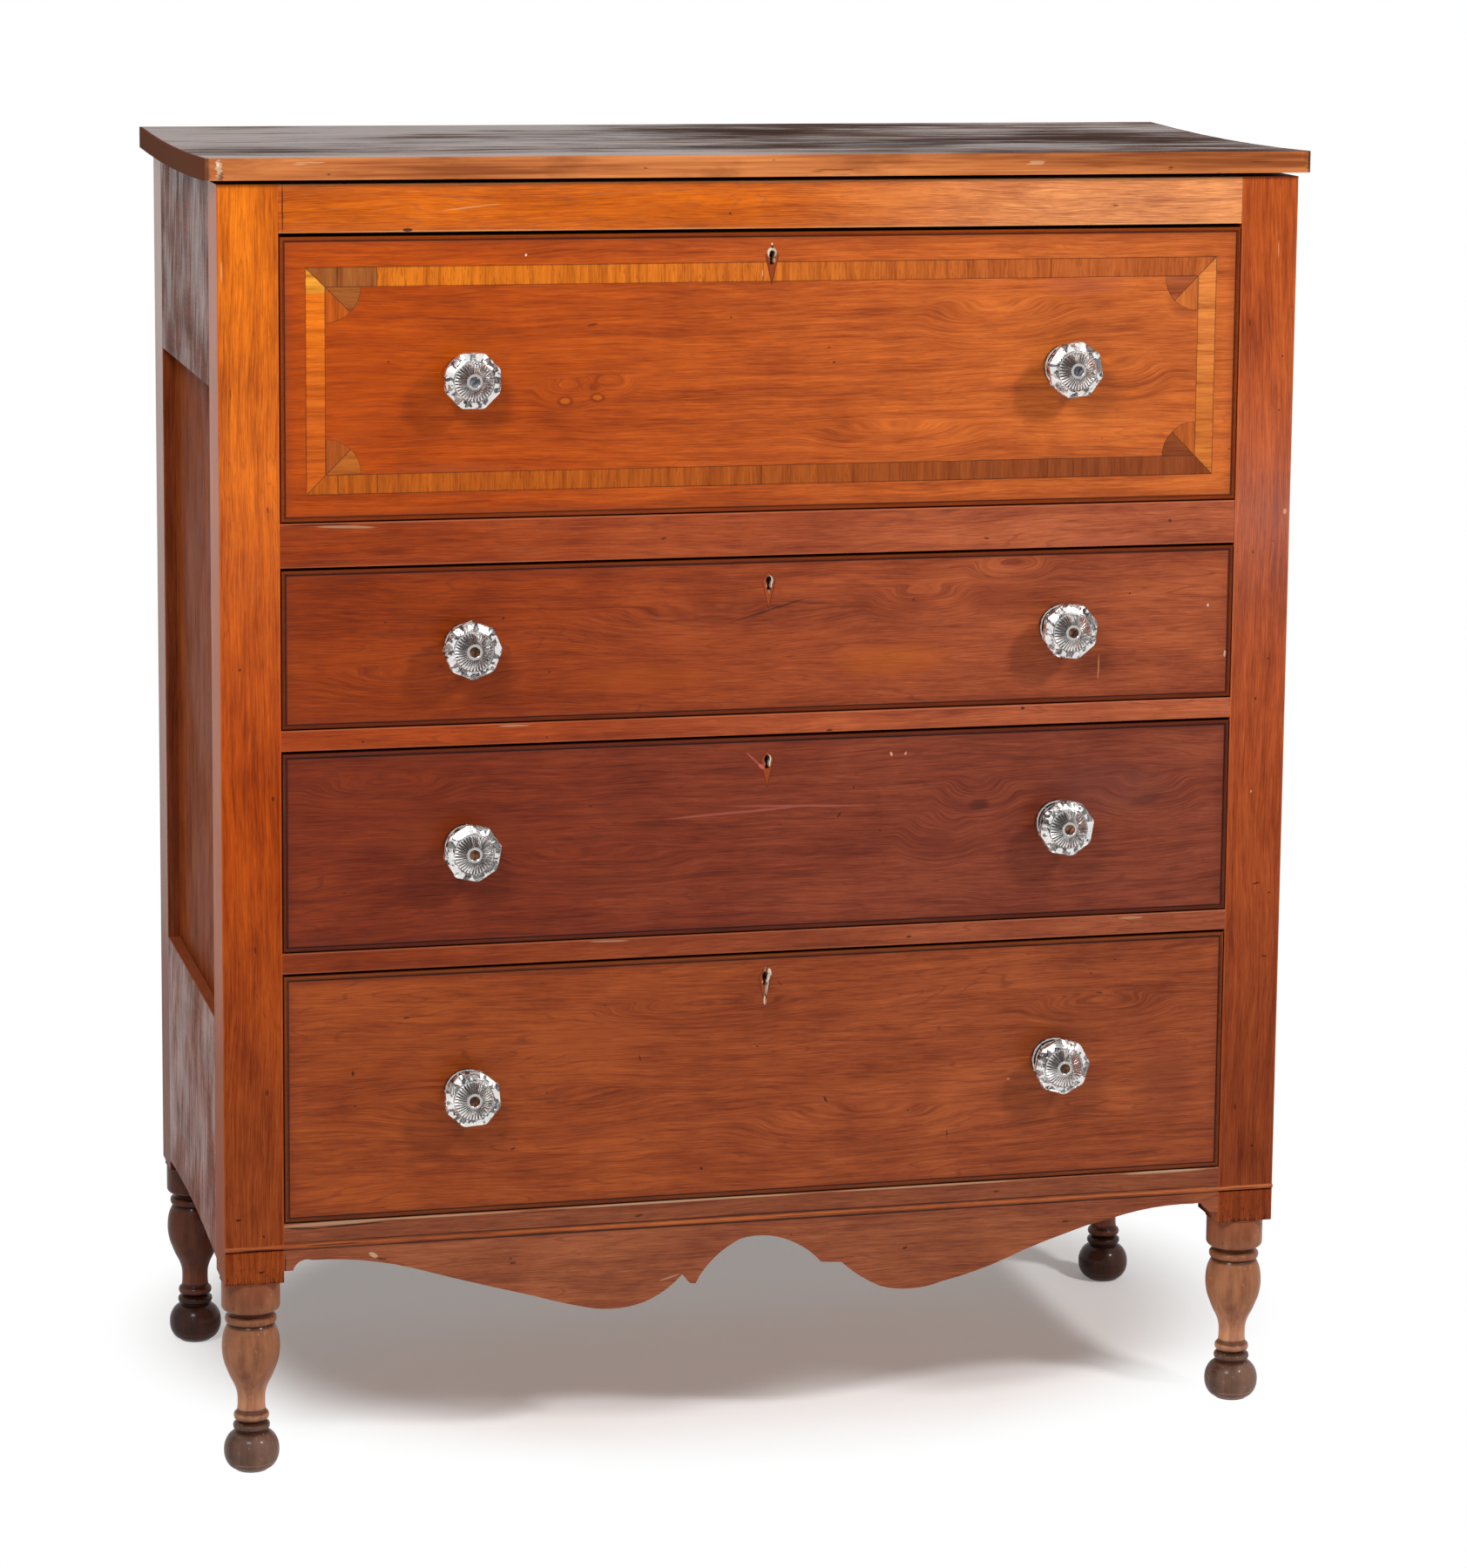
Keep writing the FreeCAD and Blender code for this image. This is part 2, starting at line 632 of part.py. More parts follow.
def make_runners():
    """Notched runners under each drawer side, a kicker over drawer 1, and guides on the runners."""
    runners, guides = [], []
    runner_inner = half_opening - S.runner_reach
    levels = [(opening.rail, opening.rail_base, opening.floor) for opening in OPENINGS]
    levels.append(("top_front_rail", top_rail_base, top_rail_base + S.lower_divider_height))
    for side in (LEFT, RIGHT):
        for rail, base, top in levels:
            rail_back = face + (S.top_rail_thickness if rail == "top_front_rail" else S.divider_depth)
            level_name = f"{SIDE_NAMES[side]}_{rail}_runner"
            notched = [
                (side * runner_inner, rail_back),
                (side * half_opening, rail_back),
                (side * half_opening, post_back),
                (side * side_inner, post_back),
                (side * side_inner, rear_post_front),
                (side * half_opening, rear_post_front),
                (side * half_opening, rear_rail_front),
                (side * runner_inner, rear_rail_front),
            ]
            bar = prism(f"{level_name}_bar", "XY_Plane", [notched], (base, top))
            tongue_height = centred((base + top) / 2, (top - base) * TENON_HEIGHT_SHARE)
            front_spans = (
                centred(side * (runner_inner + S.runner_reach / 2), S.runner_tenon_width),
                (rail_back - S.runner_tenon_length, rail_back),
                tongue_height,
            )
            rear_spans = (
                centred(side * (half_opening + side_inner) / 2, S.runner_tenon_width),
                (rear_post_front, rear_post_front + S.runner_tenon_length),
                tongue_height,
            )
            tongues = [box(f"{level_name}_{end}_tenon", *spans) for end, spans in
                       (("front", front_spans), ("rear", rear_spans))]
            runners.append(joined(level_name, [bar, *tongues]))
            hollow(rail, *[grown(span, S.joint_play) for span in front_spans])
            hollow(post_name(side, "rear"), *[grown(span, S.joint_play) for span in rear_spans])
            if rail != "top_front_rail":
                guides.append(
                    box(
                        f"{level_name}_guide",
                        (side * half_opening, side * side_inner),
                        (post_back, rear_post_front),
                        (top, top + S.guide_height),
                    )
                )
    blanks["drawer_runners"] = grouped("drawer_runners_blank", runners + guides)


def make_top():
    """A wide board that has cupped, so that its front and back edges stand off the case."""
    front, back = face - S.top_front_overhang, rear + S.top_back_overhang
    middle = (front + back) / 2
    low = case_top + S.top_seat_gap
    section = [
        (front, low + S.top_cup_lift),
        Through((middle, low)),
        (back, low + S.top_cup_lift),
        (back, low + S.top_cup_lift + S.top_thickness),
        Through((middle, low + S.top_thickness)),
        (front, low + S.top_cup_lift + S.top_thickness),
    ]
    end = half_width + S.top_side_overhang
    board = prism("top_board_cupped", "YZ_Plane", [section], (-end, end))
    radius = S.top_corner_radius
    bend = radius * (1 - HALF_DIAGONAL_SHARE)
    plan = [
        (-end, back),
        (-end, front + radius),
        Through((-end + bend, front + bend)),
        (-end + radius, front),
        (end - radius, front),
        Through((end - bend, front + bend)),
        (end, front + radius),
        (end, back),
    ]
    height = (case_top - S.overrun, low + S.top_cup_lift + S.top_thickness + S.overrun)
    blank = doc.addObject("Part::MultiCommon", "top_board_blank")
    blank.Shapes = [board, prism("top_board_plan", "XY_Plane", [plan], height)]
    blanks["top_board"] = blank


def edges_where(shape, test):
    """Names of the edges whose two ends pass a test."""
    return [
        f"Edge{number}"
        for number, edge in enumerate(shape.Edges, start=1)
        if test([vertex.Point for vertex in edge.Vertexes])
    ]


class Drawer:
    """Places of one drawer, worked out from its opening."""

    def __init__(self, name, opening, rail_above, tail_count):
        self.name = name
        self.is_banded = opening is OPENINGS[-1]
        self.rail_above = rail_above
        self.tail_count = tail_count
        floor = opening.floor
        top_gap = S.shrunk_top_gap if self.is_banded else S.front_top_gap
        self.opening_top = opening.top
        self.low = floor + S.front_bottom_gap
        self.high = self.opening_top - top_gap
        self.side_low = floor + S.running_gap
        self.side_high = self.high - S.side_drop
        self.half = half_opening - S.front_side_gap
        self.inner_half = self.half - S.side_thickness
        self.front_back = face + S.front_thickness
        self.tail_end = face + S.dovetail_lap
        self.end = board_front - S.drawer_back_clearance
        self.back_front = self.end - S.drawer_back_thickness
        self.groove_low = self.side_low + S.bottom_groove_lift
        self.groove_high = self.groove_low + S.bottom_groove_width
        self.lock_axis = self.high - S.lock_axis_drop


def tail_outlines(low, high, count, shoulder, tip, length):
    """Dovetails side by side, each narrow at its shoulder and wide at its tip."""
    pitch = (high - low) / count
    half_pin = S.pin_width / 2
    flare = length * DOVETAIL_SLOPE_SHARE
    outlines = []
    for number in range(count):
        start, finish = low + pitch * number, low + pitch * (number + 1)
        outlines.append([
            (shoulder, start + half_pin + flare),
            (tip, start + half_pin),
            (tip, finish - half_pin),
            (shoulder, finish - half_pin - flare),
        ])
    return outlines


def make_drawer_box(drawer):
    """Front, sides, back and bottom, with half-blind dovetails in front and through ones behind."""
    name = drawer.name
    front_tails = tail_outlines(
        drawer.side_low, drawer.side_high, drawer.tail_count,
        drawer.front_back, drawer.tail_end, S.front_thickness - S.dovetail_lap,
    )
    rear_tails = tail_outlines(
        drawer.groove_high, drawer.side_high, drawer.tail_count,
        drawer.back_front, drawer.end, S.drawer_back_thickness,
    )
    side_outline = [(drawer.front_back, drawer.side_low)]
    for tail in front_tails:
        side_outline += tail
    side_outline += [(drawer.front_back, drawer.side_high), (drawer.back_front, drawer.side_high)]
    for tail in reversed(rear_tails):
        side_outline += reversed(tail)
    side_outline += [
        (drawer.back_front, drawer.groove_high),
        (drawer.end, drawer.groove_high),
        (drawer.end, drawer.side_low),
    ]
    groove = (drawer.groove_low, drawer.groove_high)
    sides = []
    for side in (LEFT, RIGHT):
        word = SIDE_NAMES[side]
        across = (side * drawer.inner_half, side * drawer.half)
        stock = prism(f"{name}_{word}_side_stock", "YZ_Plane", [side_outline], across)
        channel = box(
            f"{name}_{word}_side_groove",
            (side * (drawer.inner_half - S.overrun), side * (drawer.inner_half + S.bottom_groove_depth)),
            (face, rear),
            groove,
        )
        sides.append(without(f"{name}_{word}_side", stock, [channel]))
        cut_out(f"{name}_front", prism(f"{name}_{word}_front_sockets", "YZ_Plane", front_tails, across))
        cut_out(f"{name}_back", prism(f"{name}_{word}_back_sockets", "YZ_Plane", rear_tails, across))
    blanks[f"{name}_sides"] = grouped(f"{name}_sides_blank", sides)

    width = (-drawer.half, drawer.half)
    bead_room = (-(drawer.half - S.cock_bead_width), drawer.half - S.cock_bead_width)
    slab = box(
        f"{name}_front_slab", width, (face + S.cock_bead_depth, drawer.front_back), (drawer.low, drawer.high)
    )
    field = box(
        f"{name}_front_field",
        bead_room,
        (face, face + S.cock_bead_depth),
        grown((drawer.low, drawer.high), -S.cock_bead_width),
    )
    blanks[f"{name}_front"] = joined(f"{name}_front_blank", [slab, field])
    hollow(
        f"{name}_front",
        (-drawer.inner_half, drawer.inner_half),
        (drawer.front_back - S.bottom_groove_depth, drawer.front_back + S.overrun),
        groove,
    )
    blanks[f"{name}_back"] = box(
        f"{name}_back_blank", width, (drawer.back_front, drawer.end), (drawer.groove_high, drawer.side_high)
    )
    make_drawer_bottom(drawer)


def make_drawer_bottom(drawer):
    """A board with bevels under its two ends and front edge, which leave a tongue for the grooves."""
    reach = S.bottom_groove_depth - S.bottom_play
    half = drawer.inner_half + reach
    top = drawer.groove_high - S.bottom_play
    edge = drawer.groove_low + S.bottom_play
    low = top - S.bottom_thickness
    tongue = drawer.inner_half - S.bottom_play
    section = [
        (-half, edge),
        (-tongue, edge),
        (-(tongue - S.bottom_bevel_width), low),
        (tongue - S.bottom_bevel_width, low),
        (tongue, edge),
        (half, edge),
        (half, top),
        (-half, top),
    ]
    front = drawer.front_back - reach
    shoulder = drawer.front_back + S.bottom_play
    board = prism(f"{drawer.name}_bottom_board", "XZ_Plane", [section], (front, drawer.end))
    bevel = [
        (front - S.overrun, low - S.overrun),
        (front - S.overrun, edge),
        (shoulder, edge),
        (shoulder + S.bottom_bevel_width, low),
        (shoulder + S.bottom_bevel_width, low - S.overrun),
    ]
    tool = prism(f"{drawer.name}_bottom_bevel", "YZ_Plane", [bevel], (-half - S.overrun, half + S.overrun))
    blanks[f"{drawer.name}_bottom"] = board
    cut_out(f"{drawer.name}_bottom", tool)


def make_cock_beads(drawer):
    """Four mitred strips in the rabbet round the front, with a nose that stands proud."""
    outer = {"left": -drawer.half, "right": drawer.half, "low": drawer.low, "high": drawer.high}
    inner = {
        "left": -(drawer.half - S.cock_bead_width),
        "right": drawer.half - S.cock_bead_width,
        "low": drawer.low + S.cock_bead_width,
        "high": drawer.high - S.cock_bead_width,
    }

    def strip(first, second):
        return [
            (outer[first[0]], outer[first[1]]),
            (outer[second[0]], outer[second[1]]),
            (inner[second[0]], inner[second[1]]),
            (inner[first[0]], inner[first[1]]),
        ]

    corners = (("left", "low"), ("right", "low"), ("right", "high"), ("left", "high"))
    depth = (face - S.cock_bead_projection, face + S.cock_bead_depth)
    strips = [
        prism(f"{drawer.name}_cock_bead_{number}", "XZ_Plane", [strip(corners[number - 1], corner)], depth)
        for number, corner in enumerate(corners)
    ]
    blanks[f"{drawer.name}_cock_beads"] = grouped(f"{drawer.name}_cock_beads_blank", strips)
    return strips


def bevel_cock_beads(strips):
    """Takes off the two long front edges of every strip."""
    nose = (face - S.cock_bead_projection).value
    for strip in strips:
        squared = strip.Tip
        long_edges = edges_where(
            squared.Shape, lambda points: all(abs(point.y - nose) < S.running_gap.value for point in points)
            and (points[0] - points[-1]).Length > S.front_thickness.value
        )
        bevel = strip.newObject("PartDesign::Chamfer", f"{strip.Name}_nose")
        bevel.Base = (squared, long_edges)
        bevel.setExpression("Size", (S.cock_bead_width * NOSE_BEVEL_SHARE).text)
        strip.Tip = bevel


def make_knobs(drawer):
    """Octagonal glass knobs on round feet, held by countersunk bolts with square nuts."""
    knobs, bolts = [], []
    height = (drawer.low + drawer.high) / 2
    for side in (LEFT, RIGHT):
        name = f"{drawer.name}_{SIDE_NAMES[side]}"
        place = side * S.knob_spacing / 2
        foot_radius, neck_radius = S.knob_base_width / 2, S.knob_neck_width / 2
        foot_profile = [
            (0, 0),
            (foot_radius, 0),
            (foot_radius, S.knob_base_thickness),
            (neck_radius, S.knob_neck_reach),
            (0, S.knob_neck_reach),
        ]
        foot = turned(doc.addObject("PartDesign::Body", f"{name}_knob_foot"), foot_profile)
        facing_front(foot, place, face, height)
        head = make_knob_head(name, place, height)
        room_profile = bolt_profile(S.overrun, S.bolt_play)
        room_profile += [(room_profile[-1][0], S.knob_reach + S.overrun), (0, S.knob_reach + S.overrun)]
        room = turned(doc.addObject("PartDesign::Body", f"{name}_bolt_room"), room_profile)
        facing_front(room, place, face, height)
        knobs.append(without(f"{name}_knob", joined(f"{name}_knob_glass", [foot, head]), [room]))
        bolts += make_knob_bolt(name, place, height)
        hole_length = S.front_thickness + S.overrun * 2
        hole = cylinder(f"{name}_knob_hole", S.bolt_width / 2 + S.bolt_play, hole_length)
        facing_front(hole, place, drawer.front_back + S.overrun, height)
        cut_out(f"{drawer.name}_front", hole)
    blanks[f"{drawer.name}_glass_knobs"] = grouped(f"{drawer.name}_glass_knobs_blank", knobs)
    blanks[f"{drawer.name}_knob_bolts"] = grouped(f"{drawer.name}_knob_bolts_blank", bolts)


def make_knob_head(name, place, height):
    """The faceted head: slabs with its outline, turned about its axis, and kept where all of them overlap."""
    rim = [(S.knob_neck_width / 2, S.knob_neck_reach)]
    rim += [(S.knob_width / 2 * across, S.knob_reach * reach) for across, reach in KNOB_HEAD_SHARES]
    outline = rim + [(-across, reach) for across, reach in reversed(rim)]
    slabs = []
    for number in range(KNOB_SIDE_COUNT // 2):
        slab = prism(f"{name}_knob_slab_{number + 1}", "XZ_Plane", [outline], (-S.knob_width, S.knob_width))
        slabs.append(facing_front(slab, place, face, height, spin=FULL_TURN / KNOB_SIDE_COUNT * number))
    head = doc.addObject("Part::MultiCommon", f"{name}_knob_head")
    head.Shapes = slabs
    return head


def bolt_profile(tail, play):
    """The bolt's shank and countersunk head from its tail up, with some play round them."""
    radius = S.bolt_width / 2 + play
    return [
        (0, -tail),
        (radius, -tail),
        (radius, S.knob_reach - S.bolt_head_height),
        (S.bolt_head_width / 2 + play, S.knob_reach),
    ]


def make_knob_bolt(name, place, height):
    """A slotted bolt through the knob and the front, and its square nut inside the drawer."""
    tail = S.front_thickness + S.nut_thickness + S.bolt_tail
    shank_profile = [*bolt_profile(tail, 0), (0, S.knob_reach)]
    shank = turned(doc.addObject("PartDesign::Body", f"{name}_bolt_turning"), shank_profile)
    facing_front(shank, place, face, height)
    slot = box(
        f"{name}_bolt_slot",
        centred(place, S.bolt_slot_width),
        (face - S.knob_reach - S.overrun, face - S.knob_reach + S.bolt_slot_depth),
        centred(height, S.bolt_head_width + S.overrun),
    )
    inside = face + S.front_thickness
    nut_back = inside + S.nut_thickness
    nut_block = box(
        f"{name}_nut_block", centred(place, S.nut_width), (inside, nut_back), centred(height, S.nut_width)
    )
    thread_room = cylinder(f"{name}_nut_bore", S.bolt_width / 2, S.nut_thickness + S.overrun * 2)
    facing_front(thread_room, place, nut_back + S.overrun, height)
    return [without(f"{name}_bolt", shank, [slot]), without(f"{name}_nut", nut_block, [thread_room])]


def keyhole_outline(axis, play):
    """A round hole with a slot below it."""
    radius, slot = S.keyhole_width / 2 + play, S.keyhole_slot_width / 2 + play
    meeting = axis - radius * HALF_DIAGONAL_SHARE
    bottom = axis - S.keyhole_drop - play
    return [(-slot, bottom), (slot, bottom), (slot, meeting), Through((0, axis + radius)), (-slot, meeting)]


def make_lock(drawer):
    """Half-mortise lock in the back of the front, and its sliding bolt."""
    name, axis = drawer.name, drawer.lock_axis
    back = drawer.front_back
    plate = centred(0, S.lock_plate_width)
    case = centred(0, S.lock_case_width)
    case_low = axis - S.lock_case_below
    case_front = back - S.lock_case_depth
    pieces = {
        "case": (case, (case_front, back), (case_low, drawer.high)),
        "back_plate": (plate, (back - S.lock_plate_thickness, back), (case_low - S.lock_wall, drawer.high)),
        "top_plate": (plate, (case_front, back), (drawer.high - S.lock_plate_thickness, drawer.high)),
    }
    plates = [box(f"{name}_lock_{word}", *spans) for word, spans in pieces.items()]
    shell = joined(f"{name}_lock_shell", plates)
    for across, depth, height in pieces.values():
        hollow(
            f"{name}_front",
            grown(across, S.joint_play),
            (depth[0] - S.joint_play, back + S.overrun),
            (height[0] - S.joint_play, drawer.high + S.overrun),
        )
    bolt_across = centred(0, S.lock_bolt_width)
    chamber_front = case_front + S.lock_wall
    bolt_depth = (chamber_front + S.lock_play, chamber_front + S.lock_play + S.lock_bolt_thickness)
    chamber = box(
        f"{name}_lock_chamber",
        grown(bolt_across, S.lock_play),
        grown(bolt_depth, S.lock_play),
        (case_low + S.lock_wall, drawer.high + S.overrun),
    )
    case_keyhole = prism(
        f"{name}_lock_keyhole",
        "XZ_Plane",
        [keyhole_outline(axis, S.joint_play)],
        (case_front - S.overrun, chamber_front + S.lock_play),
    )
    blanks[f"{name}_lock"] = without(f"{name}_lock_case_hollow", shell, [chamber, case_keyhole])
    top = drawer.high
    blanks[f"{name}_lock_bolt"] = box(
        f"{name}_lock_bolt_blank", bolt_across, bolt_depth, (axis + S.keyhole_width / 2, top)
    )
    strike_play = S.lock_play * 2
    hollow(
        drawer.rail_above,
        grown(bolt_across, strike_play),
        grown(bolt_depth, strike_play),
        (drawer.opening_top - S.overrun, top + S.lock_travel + strike_play),
    )


def make_inlay(drawer):
    """The kite round the keyhole, and on drawer 1 the banding that it crosses."""
    name, axis = drawer.name, drawer.lock_axis
    half_kite = S.kite_width / 2
    peak, tip = (0, axis + S.kite_peak), (0, axis - S.kite_tail)
    left_half = [peak, (-half_kite, axis), tip]
    kite = [*left_half, (half_kite, axis)]
    depth = (face, face + S.inlay_thickness)
    case_front = drawer.front_back - S.lock_case_depth
    key_room = prism(
        f"{name}_key_room", "XZ_Plane", [keyhole_outline(axis, 0)], (face - S.overrun, case_front + S.overrun)
    )
    kite_room = prism(f"{name}_kite_room", "XZ_Plane", [kite], (face - S.overrun, face + S.inlay_thickness))
    cut_out(f"{name}_front", key_room)
    cut_out(f"{name}_front", kite_room)
    veneer = prism(f"{name}_kite", "XZ_Plane", [left_half if name in BROKEN_KITES else kite], depth)
    inlays = [without(f"{name}_pierced_kite", veneer, [key_room])]
    if drawer.is_banded:
        inlays += make_banding(drawer, depth, kite_room)
    blanks[f"{name}_inlay"] = grouped(f"{name}_inlay_blank", inlays)


def make_banding(drawer, depth, kite_room):
    """Inlaid band with mitred corners, and a quarter fan of two wedges in each inner corner."""
    left, right = -(drawer.half - S.band_side_margin), drawer.half - S.band_side_margin
    low, high = drawer.low + S.band_bottom_margin, drawer.high - S.band_top_margin
    outer = [(left, low), (right, low), (right, high), (left, high)]
    inner = [
        (left + S.band_width, low + S.band_width),
        (right - S.band_width, low + S.band_width),
        (right - S.band_width, high - S.band_width),
        (left + S.band_width, high - S.band_width),
    ]
    bands, wedges = [], []
    for number, edge in enumerate(("low", "right", "high", "left")):
        following = (number + 1) % 4
        strip = [outer[number], outer[following], inner[following], inner[number]]
        band = prism(f"{drawer.name}_{edge}_band", "XZ_Plane", [strip], depth)
        bands.append(without(f"{drawer.name}_crossed_band", band, [kite_room]) if edge == "high" else band)
        corner = inner[number]
        towards_middle = (1 if number in (0, 3) else -1, 1 if number in (0, 1) else -1)

        def fan_point(share):
            angle = math.radians(FULL_TURN / 4 * share)
            return (
                corner[0] + S.fan_radius * (towards_middle[0] * math.cos(angle)),
                corner[1] + S.fan_radius * (towards_middle[1] * math.sin(angle)),
            )

        for wedge, (start, finish) in enumerate(((0, 0.5), (0.5, 1)), start=1):
            outline = [corner, fan_point(start), Through(fan_point((start + finish) / 2)), fan_point(finish)]
            wedges.append(prism(f"{drawer.name}_fan_{number + 1}_{wedge}", "XZ_Plane", [outline], depth))
    room = box(f"{drawer.name}_banding_room", (left, right), (face - S.overrun, depth[1]), (low, high))
    island = box(
        f"{drawer.name}_banding_island",
        (inner[0][0], inner[1][0]),
        (face - S.overrun * 2, depth[1] + S.overrun),
        (inner[0][1], inner[2][1]),
    )
    for tool in (without(f"{drawer.name}_band_room", room, [island]), *wedges):
        cut_out(f"{drawer.name}_front", tool)
    return bands + wedges


def finish_nodes():
    """Joins the tenons to each blank, cuts its sockets out, and gives the node its label."""
    nodes = []
    for name, blank in blanks.items():
        shape = joined(f"{name}_with_tenons", [blank, *tenons[name]]) if name in tenons else blank
        if name in sockets:
            shape = without(f"{name}_cut", shape, sockets[name])
        shape.Label = name
        nodes.append(shape)
    return nodes


def check_and_write(nodes):
    """Stops on a failed object or a bad shape, and otherwise writes one file for each node."""
    for item in doc.Objects:
        if "Invalid" in item.State or "Error" in item.State:
            raise RuntimeError(f"{item.Name} failed: {item.State}")
    for node in nodes:
        if node.Shape.isNull() or not node.Shape.isValid() or not node.Shape.Solids:
            raise RuntimeError(f"{node.Label} has no valid solid")
    os.makedirs("parts", exist_ok=True)
    for node in nodes:
        node.Shape.exportStep(os.path.join("parts", f"{node.Label}.step"))
    print(len(nodes), "nodes,", sum(len(node.Shape.Solids) for node in nodes), "solids")


make_top()
make_front_rails()
make_apron()
make_base_bead()
blanks["side_panels"] = grouped("side_panels_blank", [make_side_frame(hand) for hand in (LEFT, RIGHT)])
make_back()
make_runners()
all_strips = []
rail_over = "top_front_rail"
for drawer_number, opening in enumerate(reversed(OPENINGS)):
    this_drawer = Drawer(f"drawer_{drawer_number + 1}", opening, rail_over, TAIL_COUNTS[drawer_number])
    rail_over = opening.rail
    make_drawer_box(this_drawer)
    all_strips += make_cock_beads(this_drawer)
    make_knobs(this_drawer)
    make_lock(this_drawer)
    make_inlay(this_drawer)
for post_end in ("front", "rear"):
    for hand in (LEFT, RIGHT):
        make_post(hand, post_end)
doc.recompute()
bevel_cock_beads(all_strips)
finished = finish_nodes()
doc.recompute()
check_and_write(finished)
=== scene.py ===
"""Chest of four drawers in old cherry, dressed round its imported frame."""

import json
import math

import bmesh
import bpy
from mathutils import Euler, Matrix, Vector


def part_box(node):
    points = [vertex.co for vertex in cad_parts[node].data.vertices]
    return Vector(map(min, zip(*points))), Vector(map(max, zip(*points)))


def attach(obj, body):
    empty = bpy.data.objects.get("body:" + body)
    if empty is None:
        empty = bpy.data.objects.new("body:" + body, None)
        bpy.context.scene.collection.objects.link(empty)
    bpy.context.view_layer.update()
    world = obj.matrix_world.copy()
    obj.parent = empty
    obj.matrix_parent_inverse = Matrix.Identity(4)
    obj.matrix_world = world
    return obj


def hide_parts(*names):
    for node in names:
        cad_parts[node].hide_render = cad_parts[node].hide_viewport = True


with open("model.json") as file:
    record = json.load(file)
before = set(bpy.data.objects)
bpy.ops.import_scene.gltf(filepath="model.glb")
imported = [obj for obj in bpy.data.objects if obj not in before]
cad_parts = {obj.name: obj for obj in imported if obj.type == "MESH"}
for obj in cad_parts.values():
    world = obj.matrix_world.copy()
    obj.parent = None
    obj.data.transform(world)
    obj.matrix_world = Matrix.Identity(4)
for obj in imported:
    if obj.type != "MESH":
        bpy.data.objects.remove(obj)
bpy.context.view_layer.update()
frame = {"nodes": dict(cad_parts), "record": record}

bl_info = {
    "name": "Chest of drawers",
    "version": (1, 0, 0),
    "blender": (4, 5, 0),
    "location": "3D View > Sidebar > Chest",
    "description": "Posts, rails, drawers, inlay, glass knobs and stage of a cherry chest of drawers",
    "category": "Object",
}

MM = 0.001
MERGE, FLAT, SHARP = 0.01 * MM, math.radians(0.4), math.radians(30)
FRONT_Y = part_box("front_left_post")[0].y
BAND_TOP, BAND_WIDTH, FAN_RADIUS = 1123.4 * MM, 18 * MM, 32.5 * MM
KITE_HALF_WIDTH, KITE_SHOULDER, KITE_HEIGHT = 6.5 * MM, 9 * MM, 37 * MM
BODY_OF = {node: body for body, nodes in frame["record"]["behaviour"]["bodies"].items() for node in nodes}
DRAWERS = (1, 2, 3, 4)
SIDES = {"left": -1, "right": 1}


# Shader arithmetic

class Wire:
    """An output socket that does arithmetic: an expression on it adds the Math nodes."""

    def __init__(self, finish, socket):
        self.finish = finish
        self.socket = socket

    def _math(self, operation, *values):
        return self.finish.node("ShaderNodeMath", {"operation": operation}, dict(enumerate(values)))

    def __add__(self, other):
        return self._math("ADD", self, other)

    def __radd__(self, other):
        return self._math("ADD", other, self)

    def __sub__(self, other):
        return self._math("SUBTRACT", self, other)

    def __rsub__(self, other):
        return self._math("SUBTRACT", other, self)

    def __mul__(self, other):
        return self._math("MULTIPLY", self, other)

    def __rmul__(self, other):
        return self._math("MULTIPLY", other, self)

    def __truediv__(self, other):
        return self._math("DIVIDE", self, other)

    def __rtruediv__(self, other):
        return self._math("DIVIDE", other, self)

    def __pow__(self, other):
        return self._math("POWER", self, other)

    def __abs__(self):
        return self._math("ABSOLUTE", self)

    def sine(self):
        return self._math("SINE", self)

    def least(self, other):
        return self._math("MINIMUM", self, other)

    def most(self, other):
        return self._math("MAXIMUM", self, other)


